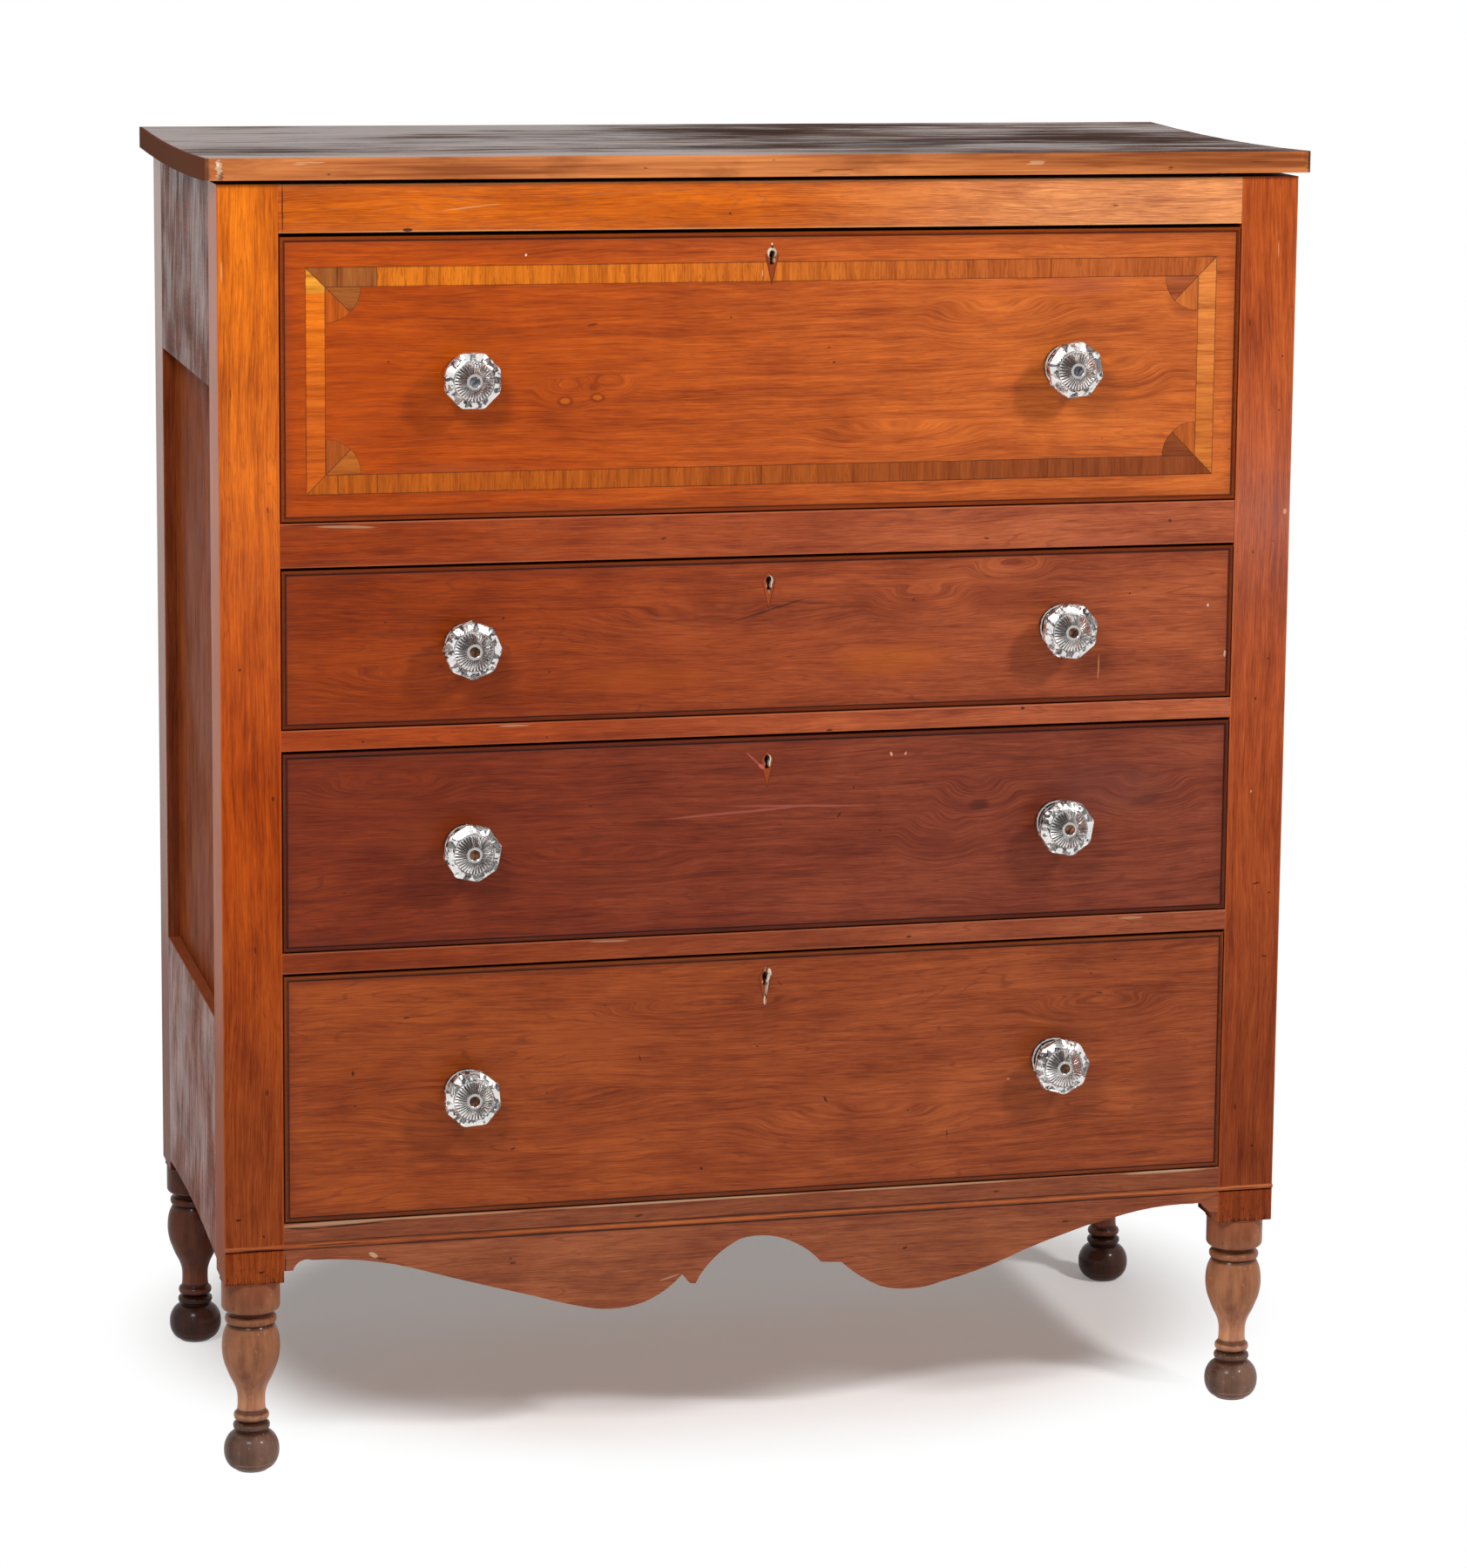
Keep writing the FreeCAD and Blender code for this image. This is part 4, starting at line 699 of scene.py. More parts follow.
class ChestColours(bpy.types.PropertyGroup):
    # Painted light: the posts are painted lighter at the top than at the foot, and the left ones lighter than
    # the right, for the lamps' light falling off downward and brighter on the left, over the wood's own tone.
    post_high: shade("Left post, top", 212, 106, 16, "Left posts at the top, bleached by light")
    post_middle: shade("Left post, middle", 170, 67, 8, "Left posts at mid-height")
    post_low: shade("Left post, foot", 167, 76, 30, "Left posts near the leg")
    right_top_tone_and_painted_light: shade("Right post, top", 170, 75, 26, "Right posts at the top")
    right_foot_tone_and_painted_light: shade("Right post, foot", 151, 67, 32, "Right posts near the leg")
    top_rail: shade("Top rail", 194, 90, 8, "Rail above the drawers")
    top_rail_end: shade("Top rail, right", 222, 141, 86, "Worn right end of the rail above the drawers")
    rail: shade("Rails, left", 147, 56, 10, "Rails between the drawers")
    rail_end: shade("Rails, right", 164, 82, 50, "Right ends of the rails")
    apron: shade("Apron", 144, 76, 46, "Apron and bottom rail")
    # Painted light: the lower drawer fronts are darker than the top one, partly their own tone and partly
    # painted light falling off towards the floor.
    front_1: shade("Drawer 1", 170, 67, 4, "Front of the top drawer")
    front_1_end: shade("Drawer 1, right", 188, 93, 38, "Front of the top drawer, right end")
    front_2: shade("Drawer 2", 138, 51, 6, "Front of the second drawer")
    front_2_end: shade("Drawer 2, right", 155, 74, 42, "Front of the second drawer, right end")
    front_3: shade("Drawer 3", 117, 42, 15, "Front of the third drawer")
    front_3_end: shade("Drawer 3, right", 127, 57, 36, "Front of the third drawer, right end")
    front_4: shade("Drawer 4", 146, 64, 22, "Front of the bottom drawer")
    front_4_end: shade("Drawer 4, right", 147, 69, 34, "Front of the bottom drawer, right end")
    side: shade("Side rails", 126, 60, 32, "Side rails, darkened by old varnish")
    panel: shade("Side panels", 162, 78, 36, "Thin panels of the sides")
    top: shade("Top", 92, 58, 42, "Top board")
    leg: shade("Legs", 156, 100, 68, "Turned legs")
    foot: shade("Feet", 106, 78, 64, "Ball feet")
    kite: shade("Kites", 150, 66, 28, "Inlaid kites at the keyholes")
    poplar: shade("Poplar", 198, 146, 102, "Secondary wood of drawers and back")
    glass: shade("Glass", 250, 252, 250, "Pressed glass knobs")
    brass: shade("Brass", 176, 142, 84, "Locks")


class StageSettings(bpy.types.PropertyGroup):
    focal: bpy.props.FloatProperty(name="Lens", description="Focal length in millimetres", default=109.76)
    left_power: bpy.props.FloatProperty(name="Left lamp", description="Watts of the left lamp", default=44)
    right_power: bpy.props.FloatProperty(name="Right lamp", description="Watts of the right lamp", default=59)
    fill: bpy.props.FloatProperty(name="Fill", description="World's light on the chest", default=0.17)


class ChestOperator:
    """What the operators share."""
    bl_options = {"REGISTER", "UNDO"}

    def execute(self, context):
        self.build(context.scene.chest_sizes, context.scene.chest_colours)
        settle()
        return {"FINISHED"}


def edge_rows(node, *letters):
    """Where a node's box ends along some axes, as rows of (axis, low, high)."""
    low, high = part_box(node)
    return [(letter, getattr(low, letter), getattr(high, letter)) for letter in letters]


# Turned leg from the floor up: shares of half the post's width and of the leg's height, one row a smooth run
LEG_RUNS = (
    ((0.0, 0.0), (0.5, 0.0), (0.56, 0.003)),
    ((0.56, 0.003), (0.77, 0.025), (0.9, 0.06), (0.938, 0.1), (0.9, 0.14), (0.76, 0.178), (0.53, 0.203)),
    ((0.53, 0.203), (0.53, 0.208)),
    ((0.53, 0.208), (0.6, 0.215), (0.622, 0.228), (0.6, 0.24), (0.5, 0.25)),
    ((0.5, 0.25), (0.47, 0.254), (0.5, 0.259)),
    ((0.5, 0.259), (0.57, 0.266), (0.6, 0.281), (0.57, 0.295), (0.49, 0.306)),
    ((0.49, 0.306), (0.468, 0.34), (0.475, 0.39), (0.53, 0.425), (0.607, 0.453), (0.72, 0.486),
     (0.822, 0.524), (0.91, 0.56), (0.965, 0.6), (0.985, 0.643), (0.96, 0.69), (0.9, 0.725), (0.8, 0.757)),
    ((0.8, 0.757), (0.77, 0.764)),
    ((0.77, 0.764), (0.85, 0.772), (0.875, 0.787), (0.85, 0.8), (0.75, 0.81)),
    ((0.75, 0.81), (0.72, 0.818), (0.78, 0.828), (0.88, 0.836)),
    ((0.88, 0.836), (0.93, 0.838), (0.985, 0.85), (0.993, 0.865)),
    ((0.993, 0.865), (0.993, 0.994)),
    ((0.993, 0.994), (0.97, 1.0), (0.0, 1.0)),
)


# Painted sheen: the outer faces of the posts in a paler, greyer tone than their fronts, for the light they
# catch, in scene-linear colour
FRONT_OUTER_SHEEN, REAR_OUTER_SHEEN = (0.62, 0.31, 0.12), (0.6, 0.33, 0.21)

# Colours of marks, in steps of 255
DENT, PALE, SPOT = (52, 22, 10), (222, 170, 120), (206, 70, 60)

# Marks on the front posts: place across and up, radii in millimetres, tilt, softness, colour and strength
POST_MARKS = {
    "left": (
        ((-497, 247), (2.4, 1.0), 0, 0.3, DENT, 0.9), ((-474, 230), (0.8, 1.4), 20, 0.3, DENT, 0.8),
        ((-480, 500), (1.0, 3.4), 5, 0.3, DENT, 0.7), ((-463, 640), (1.2, 2.2), 0, 0.3, DENT, 0.8),
        ((-470, 366), (1.0, 3.0), -8, 0.3, DENT, 0.7), ((-476, 196), (3.0, 0.9), 10, 0.3, DENT, 0.8),
        ((-499, 1010), (0.9, 5.0), 0, 0.4, DENT, 0.6), ((-466, 905), (0.8, 3.0), 4, 0.3, DENT, 0.7),
        ((-492, 760), (1.3, 1.3), 0, 0.3, DENT, 0.7), ((-506, 1120), (0.6, 9.0), 0, 0.4, PALE, 0.6),
    ),
    "right": (
        ((505, 880), (1.6, 2.6), 0, 0.3, PALE, 0.6), ((486, 520), (3.6, 0.9), 12, 0.3, DENT, 0.8),
        ((474, 842), (1.0, 2.0), 0, 0.3, DENT, 0.7), ((480, 700), (0.9, 1.6), 0, 0.3, DENT, 0.8),
        ((496, 448), (2.8, 0.8), -10, 0.3, DENT, 0.8), ((470, 300), (1.0, 3.0), 0, 0.3, DENT, 0.7),
        ((488, 260), (1.4, 1.2), 0, 0.3, DENT, 0.7), ((465, 1060), (0.8, 4.0), 3, 0.3, DENT, 0.6),
        ((492, 1130), (0.5, 8.0), 0, 0.4, PALE, 0.5), ((478, 610), (0.8, 1.2), 0, 0.3, PALE, 0.7),
    ),
}


class CHEST_OT_posts(ChestOperator, bpy.types.Operator):
    """The four posts, square above and turned below into legs"""
    bl_idname = "chest.posts"
    bl_label = "Posts"

    def build(self, sizes, colours):
        low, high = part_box("front_left_post")
        radius = (high.x - low.x) / 2
        leg = turned("leg", self.leg_profile(radius, sizes.leg_height), sizes.leg_steps)
        # Painted light on the posts: lighter at the top and on the left of the chest, over the wood's own
        # tone.
        right_middle = toned(colours.right_foot_tone_and_painted_light, 1.07)
        tones = {
            "left": ("z", ((250, colours.post_low), (650, colours.post_middle), (1150, colours.post_high))),
            "right": ("z", ((250, colours.right_foot_tone_and_painted_light), (650, right_middle), (1150, colours.right_top_tone_and_painted_light))),
        }
        rear_tone = ("z", ((250, toned(colours.right_foot_tone_and_painted_light, 0.7)), (1150, toned(colours.right_top_tone_and_painted_light, 0.72))))
        for end in ("front", "rear"):
            rear = end == "rear"
            for side, sign in SIDES.items():
                node = f"{end}_{side}_post"
                low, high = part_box(node)
                axis = ((low.x + high.x) / 2, high.y - radius if rear else low.y + radius)
                post = copied(node)
                edit(post)
                cut = (0, 0, sizes.leg_height + 0.0001)
                bpy.ops.mesh.bisect(plane_co=cut, plane_no=(0, 0, 1), clear_inner=True, use_fill=True)
                bpy.ops.object.mode_set(mode="OBJECT")
                soften(post, sizes.arris, 0.03)
                spin = Matrix.Rotation(math.radians(40 * sign + (90 if rear else 0)), 4, "Z")
                foot = own_copy(leg, f"{node}_leg", Matrix.Translation((*axis, 0)) @ spin)
                outer = (low.x, high.x)[sign > 0]
                # The outer face of each post gets its painted sheen.
                square = timber(
                    f"cherry_{node}", rear_tone if rear else tones[side], "zxy",
                    2.1 * sign + (5 if rear else 0),
                    edges=edge_rows(node, "x"), figure=0.6, grime=0.25, gloss=0.22 if side == "left" else 0.1,
                    faces=(("x", outer, REAR_OUTER_SHEEN, 0.34) if rear else ("x", outer, FRONT_OUTER_SHEEN, 0.1),),
                    marks=() if rear else POST_MARKS[side],
                )
                # Painted light and shade: the rear legs darkened as if in the chest's shadow, the front right
                # leg lightened as if more lit.
                painted_light_level = 0.27 if rear else 1.0 if side == "left" else 1.15
                turned_wood = leg_wood(f"turned_{end}_{side}_leg", colours, axis, sizes.leg_height, painted_light_level)
                post.data.materials.append(square)
                foot.data.materials.append(turned_wood)
                joined([post, foot])
                smooth(post)
                finish_piece(post, None, node)
        drop(leg)

    def leg_profile(self, radius, height):
        """The leg's outline, with more steps where a run has more points."""
        profile = []
        for run in LEG_RUNS:
            steps = 4 if len(run) > 3 else 2 if len(run) == 3 else 1
            profile += flowing([(radius * across, height * up) for across, up in run], steps)[:-1]
        return [*profile, Vector((0, height))]


# Heights of the coves, as shares of the leg's height
LEG_GROOVES = (0.206, 0.254, 0.306, 0.762, 0.819)


def leg_wood(name, colours, axis, leg_height, painted_light_level):
    """Turned cherry: worn tan varnish on the vase, darker in the coves and on the ball foot."""
    finish = new_finish(name)
    # The painted light level darkens or lightens the whole leg, and below 1 also makes it ruddier.
    ruddy = (1.0, 1.0, 1.0) if painted_light_level >= 1 else (1.2, 0.8, 0.72)
    base, ball = toned(linear(colours.leg), painted_light_level, ruddy), toned(linear(colours.foot), painted_light_level, ruddy)
    x, y, z = finish.place()
    u, v = x - axis[0], y - axis[1]
    streak = finish.noise((u * 160, v * 160, z * 14), detail=4.0, rough=0.6)
    cloud = finish.noise((u * 30, v * 30, z * 16), detail=3.0, rough=0.6)
    value = around((streak, 0.7), (cloud, 1.5))
    worn = finish.rise(z + (cloud - 0.5) * 0.03, 0.56 * leg_height, 0.34 * leg_height)
    tone = finish.mix(worn * 0.8, base, toned(base, 2.0, (0.96, 1.14, 1.36)))
    dusky = finish.rise(z + (cloud - 0.5) * 0.02, 0.62 * leg_height, 0.76 * leg_height)
    tone = finish.mix(dusky * 0.35, tone, toned(base, 0.6, (1.0, 0.85, 0.8)))
    colour = finish.figured(tone, value, (0.5, (1.0, 0.86, 0.85)), (1.42, (1.0, 1.1, 1.12)))
    low = finish.rise(z + (cloud - 0.5) * 0.012, 0.3 * leg_height, 0.24 * leg_height)
    colour = finish.mix(low, colour,
                        finish.figured(ball, value, (0.45, (1.0, 0.9, 0.9)), (1.6, (1.0, 1.05, 1.1))))
    scribed = finish.rise(abs(z - 0.0088), 0.0007, 0.0003) * finish.rise(cloud, 0.38, 0.5)
    colour = finish.mix(scribed * 0.6, colour, toned(ball, 2.6, (1.0, 1.0, 0.95)))
    nearest = abs(z - LEG_GROOVES[0] * leg_height)
    for share in LEG_GROOVES[1:]:
        nearest = nearest.least(abs(z - share * leg_height))
    cove = finish.rise(nearest + (cloud - 0.5) * 0.002, 0.0034, 0.001)
    colour = finish.mix(cove * 0.82, colour, toned(base, 0.18, (1.0, 0.75, 0.75)))
    rings = finish.noise((u * 4, v * 4, z * 900), detail=2.0)
    colour = finish.mix(finish.rise(rings, 0.62, 0.75) * 0.3, colour, toned(base, 0.4))
    pits = finish.specks((u, v, z * 0.6), 60.0, 0.1, 0.04, 0.6)
    colour = finish.mix(pits * 0.7, colour, toned(base, 0.15))
    rub = finish.noise((u * 500, v * 60, z * 160), detail=1.0)
    colour = finish.mix(finish.rise(rub, 0.68, 0.76) * 0.3, colour, toned(base, 2.0, (1.0, 1.2, 1.4)))
    scuff = finish.noise((u * 260, v * 260, z * 700 + u * 300), detail=2.0)
    zone = finish.noise((u * 30, v * 30, z * 40), detail=1.0)
    scuffs = finish.rise(scuff, 0.6, 0.68) * finish.rise(zone, 0.46, 0.58) * low
    colour = finish.mix(scuffs * 0.55, colour, toned(ball, 3.0, (1.0, 1.08, 1.05)))
    upper = finish.rise(z, 0.83 * leg_height, 0.98 * leg_height)
    colour = finish.mix(upper * 0.4, colour, toned(linear(colours.right_foot_tone_and_painted_light), 0.9 * painted_light_level))
    normal = finish.bump(streak * 0.4 + rings * 0.3 - pits * 1.5, 0.0003)
    return finish.done(colour, 0.45 + (cloud - 0.5) * 0.3, normal, 0.2, Specular_IOR_Level=0.08,
                       Coat_Roughness=0.14)


class CHEST_OT_top(ChestOperator, bpy.types.Operator):
    """The cupped top board with its worn edges"""
    bl_idname = "chest.top"
    bl_label = "Top board"

    def build(self, sizes, colours):
        dressed("top_board", top_wood(colours), sizes.top_round, 0.005, 40, 3)


# Chips and marks of the top's front edge: across and up, radii in millimetres, tilt, colour and strength
TOP_CHIPS = (
    (-508.5, 1212, (2.6, 8.5), 0, (206, 176, 150), 0.75), (-506.8, 1205, (2.2, 4.0), 0, (96, 58, 40), 0.7),
    (-509.5, 1217, (1.0, 3.0), 10, (236, 220, 200), 0.8), (-430, 1216, (14, 0.7), 0, (226, 190, 150), 0.5),
    (-300, 1203, (9, 0.8), 2, (70, 34, 20), 0.6), (-120, 1211, (2.2, 1.4), 0, (60, 28, 16), 0.7),
    (60, 1206, (26, 0.7), -1, (70, 34, 20), 0.5), (250, 1214, (8, 1.0), 0, (226, 190, 150), 0.4),
    (380, 1207, (3.0, 1.4), 0, (60, 28, 16), 0.7), (470, 1212, (12, 0.8), 2, (80, 40, 24), 0.5),
)


def top_wood(colours):
    """The top: dark and dull above, with glossy streaks along the board, and worn edges."""
    finish = new_finish("cherry_top_board")
    base, edge_tone = linear(colours.top), linear((0.75, 0.44, 0.245))
    x, y, z = finish.place()
    low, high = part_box("top_board")
    drift = finish.noise((x * 1.2, y * 5, z * 5), detail=2.0) - 0.5
    lane = y + drift * 0.05
    bands = finish.noise((x * 1.6, lane * 38, z * 60), detail=4.0, rough=0.6)
    fibre = finish.noise((x * 8, lane * 360, z * 380), detail=2.0)
    cloud = finish.noise((x * 3, y * 8, z * 40), detail=3.0, rough=0.6)
    streak = finish.noise((x * 7, y * 110, z * 3), detail=5.0, rough=0.72)
    value = around((bands, 1.4), (fibre, 0.9), (cloud, 1.4))
    above = finish.ramp(value, (0.15, toned(base, 0.4)), (0.5, base),
                        (0.85, toned(base, 1.7, (1.0, 1.05, 1.1))))
    shaded, bleached = toned(edge_tone, 0.5, (1.0, 0.85, 0.85)), toned(edge_tone, 1.35, (1.0, 1.15, 1.2))
    side = finish.ramp(value, (0.15, shaded), (0.5, edge_tone), (0.85, bleached))
    from_end = (x - low.x).least(high.x - x)
    rim = finish.rise((y - low.y).least(high.y - y).least(from_end), 0.0035, 0.0015)
    end = finish.rise(from_end, 0.0034, 0.0016)
    side = finish.mix(end, side, toned(edge_tone, 0.36, (1.0, 0.9, 0.95)))
    stained = finish.rise(finish.noise((x * 9, y * 4, z * 30), detail=4.0, rough=0.65), 0.5, 0.68)
    side = finish.mix(stained * 0.4, side, toned(edge_tone, 0.36, (1.0, 0.75, 0.75)))
    colour = finish.mix(rim, above, side)
    polish = finish.rise(streak + (cloud - 0.5) * 0.8 - x * 0.1, 0.37, 0.6) * (1 - rim)
    pits = finish.specks((x, y, z * 2), 30.0, 0.09, 0.04, 0.6)
    colour = finish.mix(pits * 0.7, colour, toned(base, 0.2))
    shift = (fibre - 0.5) * 0.012 + (streak - 0.5) * 0.006
    near = finish.rise(y, low.y + 0.014, low.y + 0.008)
    for u, v, radii, tilt, tone, strength in TOP_CHIPS:
        chip = finish.patch(x + shift, z + shift, (u, v), radii, tilt, 0.3) * near
        colour = finish.mix(chip * strength, colour, screen(tone))
    roughness = 0.34 + (streak - 0.5) * 0.5 + (cloud - 0.5) * 0.2
    normal = finish.bump(fibre * 0.4 + bands * 0.5 - pits * 1.5, 0.0003)
    return finish.done(colour, roughness, normal, 0.05 + polish * 0.68, Specular_IOR_Level=0.0,
                       Coat_Roughness=0.25)


WORN, CRACK = (196, 158, 124), (34, 18, 10)

# Marks on the front rails, rows as on the posts
RAIL_MARKS = {
    "top_front_rail": (
        ((-338, 1156), (4.5, 1.6), 0, 0.3, DENT, 0.9), ((-280, 1176), (26, 0.7), 6, 0.4, PALE, 0.45),
        ((-40, 1168), (1.2, 1.2), 0, 0.2, DENT, 0.7), ((120, 1180), (30, 8), 0, 0.9, (222, 130, 60), 0.4),
        ((330, 1172), (3.0, 1.0), 0, 0.3, DENT, 0.6), ((-451, 1176), (0.7, 22), 0, 0.3, CRACK, 0.8),
    ),
    "upper_divider_rail": (
        ((-395, 888), (26, 1.3), -2, 0.4, WORN, 0.5), ((-420, 890.4), (30, 0.8), 0, 0.4, CRACK, 0.7),
        ((-100, 870), (3.0, 0.9), 15, 0.3, DENT, 0.7), ((210, 862), (2.4, 1.0), -10, 0.3, DENT, 0.7),
        ((390, 874), (2.0, 1.4), 0, 0.3, DENT, 0.7), ((330, 856), (50, 6), 0, 0.9, (180, 96, 66), 0.4),
    ),
    "middle_divider_rail": (
        ((-240, 700), (14, 0.8), 0, 0.4, WORN, 0.5), ((60, 685), (3.0, 1.0), 0, 0.3, DENT, 0.8),
        ((248, 699), (2.0, 1.6), 0, 0.3, DENT, 0.8), ((-380, 690), (1.2, 1.2), 0, 0.3, DENT, 0.7),
    ),
    "lower_divider_rail": (
        ((-150, 493), (18, 0.8), 0, 0.4, WORN, 0.5), ((140, 484), (2.6, 1.0), 0, 0.3, DENT, 0.8),
        ((360, 492), (12, 0.9), 0, 0.4, WORN, 0.5),
    ),
    "bottom_front_rail": (
        ((-410, 238.8), (52, 1.6), 0.6, 0.5, WORN, 0.6), ((-300, 239.4), (70, 1.0), 0, 0.5, WORN, 0.6),
        ((-392, 236.2), (30, 0.7), 1.5, 0.4, CRACK, 0.85), ((-436, 235.6), (16, 0.8), -3, 0.4, CRACK, 0.8),
        ((-80, 239.6), (120, 1.0), 0, 0.5, WORN, 0.7), ((160, 239.6), (90, 0.9), 0, 0.5, WORN, 0.6),
        ((-210, 237.6), (24, 0.6), 0, 0.4, CRACK, 0.7), ((400, 239.4), (40, 1.2), 0, 0.5, WORN, 0.7),
        ((-120, 228), (4.0, 1.2), 10, 0.3, DENT, 0.7), ((230, 230), (3.0, 1.0), 0, 0.3, DENT, 0.7),
        ((0, 222.4), (470, 0.7), 0, 0.3, CRACK, 0.8),
    ),
    "front_apron": (
        ((-372, 206), (4.5, 2.2), -30, 0.3, WORN, 0.9), ((-365, 202), (5.5, 0.8), -12, 0.3, CRACK, 0.7),
        ((0, 215.6), (470, 0.8), 0, 0.3, CRACK, 0.8), ((-454, 190), (0.9, 22), 0, 0.4, CRACK, 0.7),
        ((-240, 190), (3.0, 1.0), 0, 0.3, DENT, 0.7), ((140, 180), (2.4, 1.2), 20, 0.3, DENT, 0.8),
        ((300, 196), (3.0, 1.0), 0, 0.3, DENT, 0.7), ((-90, 166), (10, 0.8), 16, 0.4, WORN, 0.5),
    ),
    "base_bead": (
        ((-480, 218), (16, 0.8), 0, 0.4, CRACK, 0.7), ((-410, 219.4), (24, 0.7), 0, 0.4, CRACK, 0.7),
        ((-210, 218), (30, 0.7), 0, 0.4, CRACK, 0.5), ((60, 219), (50, 0.6), 0, 0.4, CRACK, 0.5),
        ((330, 218.4), (40, 0.7), 0, 0.4, CRACK, 0.5), ((480, 219), (14, 0.7), 0, 0.4, CRACK, 0.6),
    ),
}


class CHEST_OT_rails(ChestOperator, bpy.types.Operator):
    """The front rails, the apron and its bead"""
    bl_idname = "chest.rails"
    bl_label = "Front rails and apron"

    def build(self, sizes, colours):
        left, right = colours.rail, colours.rail_end
        rows = (
            ("top_front_rail", ("x", ((-50, colours.top_rail), (330, colours.top_rail_end)))),
            ("upper_divider_rail", ("x", ((-420, left), (380, right)))),
            ("middle_divider_rail", ("x", ((-420, toned(left, 1.06)), (380, toned(right, 1.03))))),
            ("lower_divider_rail", ("x", ((-420, toned(left, 0.9)), (380, toned(right, 0.93))))),
            ("bottom_front_rail", toned(colours.apron, 0.97)),
            ("front_apron", colours.apron),
        )
        for seed, (node, tone) in enumerate(rows, 11):
            wood = timber(f"cherry_{node}", tone, "xzy", seed, edges=edge_rows(node, "z"), grime=0.4,
                          marks=RAIL_MARKS[node])
            dressed(node, wood, sizes.arris, 0.03)
        bead = timber("cherry_base_bead", toned(colours.apron, 1.1, (1.04, 1.0, 0.8)), "xzy", 17, figure=0.3,
                      marks=RAIL_MARKS["base_bead"])
        dressed("base_bead", bead, sizes.fine_arris, 0.002)


# Spots and dents of the left side's lower rail, along the depth and up
SIDE_MARKS = (
    ((-80, 300, "yz"), (1.2, 7), 10, 0.3, SPOT, 0.7), ((-60, 286, "yz"), (1.0, 5), 0, 0.3, SPOT, 0.6),
    ((40, 380, "yz"), (3, 1.2), 0, 0.3, DENT, 0.8), ((-30, 250, "yz"), (2.2, 1.4), 0, 0.3, DENT, 0.8),
    ((-120, 340, "yz"), (1.6, 4), 0, 0.3, DENT, 0.7), ((100, 300, "yz"), (2.0, 3), 0, 0.3, DENT, 0.7),
)


class CHEST_OT_sides(ChestOperator, bpy.types.Operator):
    """The side rails and the thin panels between them"""
    bl_idname = "chest.sides"
    bl_label = "Side frames"

    def build(self, sizes, colours):
        for side, sign in SIDES.items():
            for level, seed, factor, polish in (("upper", 21, 1.0, 0.66), ("lower", 23, 1.14, 0.54)):
                node = f"{side}_{level}_side_rail"
                wood = timber(
                    f"cherry_{node}", toned(colours.side, factor), "yzx", seed * sign,
                    edges=edge_rows(node, "z"), polish=polish, grime=0.3, shine=0.0, gloss=0.04,
                    marks=SIDE_MARKS if (side, level) == ("left", "lower") else (),
                )
                dressed(node, wood, sizes.arris, 0.03)
        panel = timber("cherry_side_panels", colours.panel, "zyx", 27, gloss=0.04, shine=0.0,
                       contrast=1.2, polish=0.13)
        dressed("side_panels", panel, sizes.fine_arris, 0.03)


class CHEST_OT_back(ChestOperator, bpy.types.Operator):
    """Rear rails, back boards, runners and guides in the secondary wood"""
    bl_idname = "chest.back"
    bl_label = "Back and runners"

    def build(self, sizes, colours):
        rows = (
            ("rear_rails", "xzy", 31, 0.9),
            ("back_boards", "xzy", 32, 0.86),
            ("drawer_runners", "yxz", 33, 0.95),
        )
        for node, grain, seed, factor in rows:
            wood = poplar(f"poplar_{node}", toned(colours.poplar, factor), grain, seed)
            dressed(node, wood, sizes.fine_arris, 0.02)


# Pale chip colours, and the near-black of painted shade in the keyhole's mouth and small holes, in steps of
# 255
CREAM, CHIP, PAINTED_HOLE_SHADE = (226, 214, 190), (196, 178, 150), (12, 8, 6)


def keyhole_rows(height, chips):
    """Marks at a keyhole: its mouth in painted shade and the chips round it, from its centre in millimetres.
    """
    rows = [((u, height + v), radii, tilt, 0.3, shade, strength)
            for u, v, radii, tilt, shade, strength in chips]
    # Painted shade: the keyhole's round top and slot in near-black.
    mouth_shade = (((0, height + 1.6), (2.5, 3.0), 0, 0.15, PAINTED_HOLE_SHADE, 1.0),
             ((0.2, height - 3.2), (1.5, 3.2), 0, 0.15, PAINTED_HOLE_SHADE, 1.0))
    return (*rows, *mouth_shade)


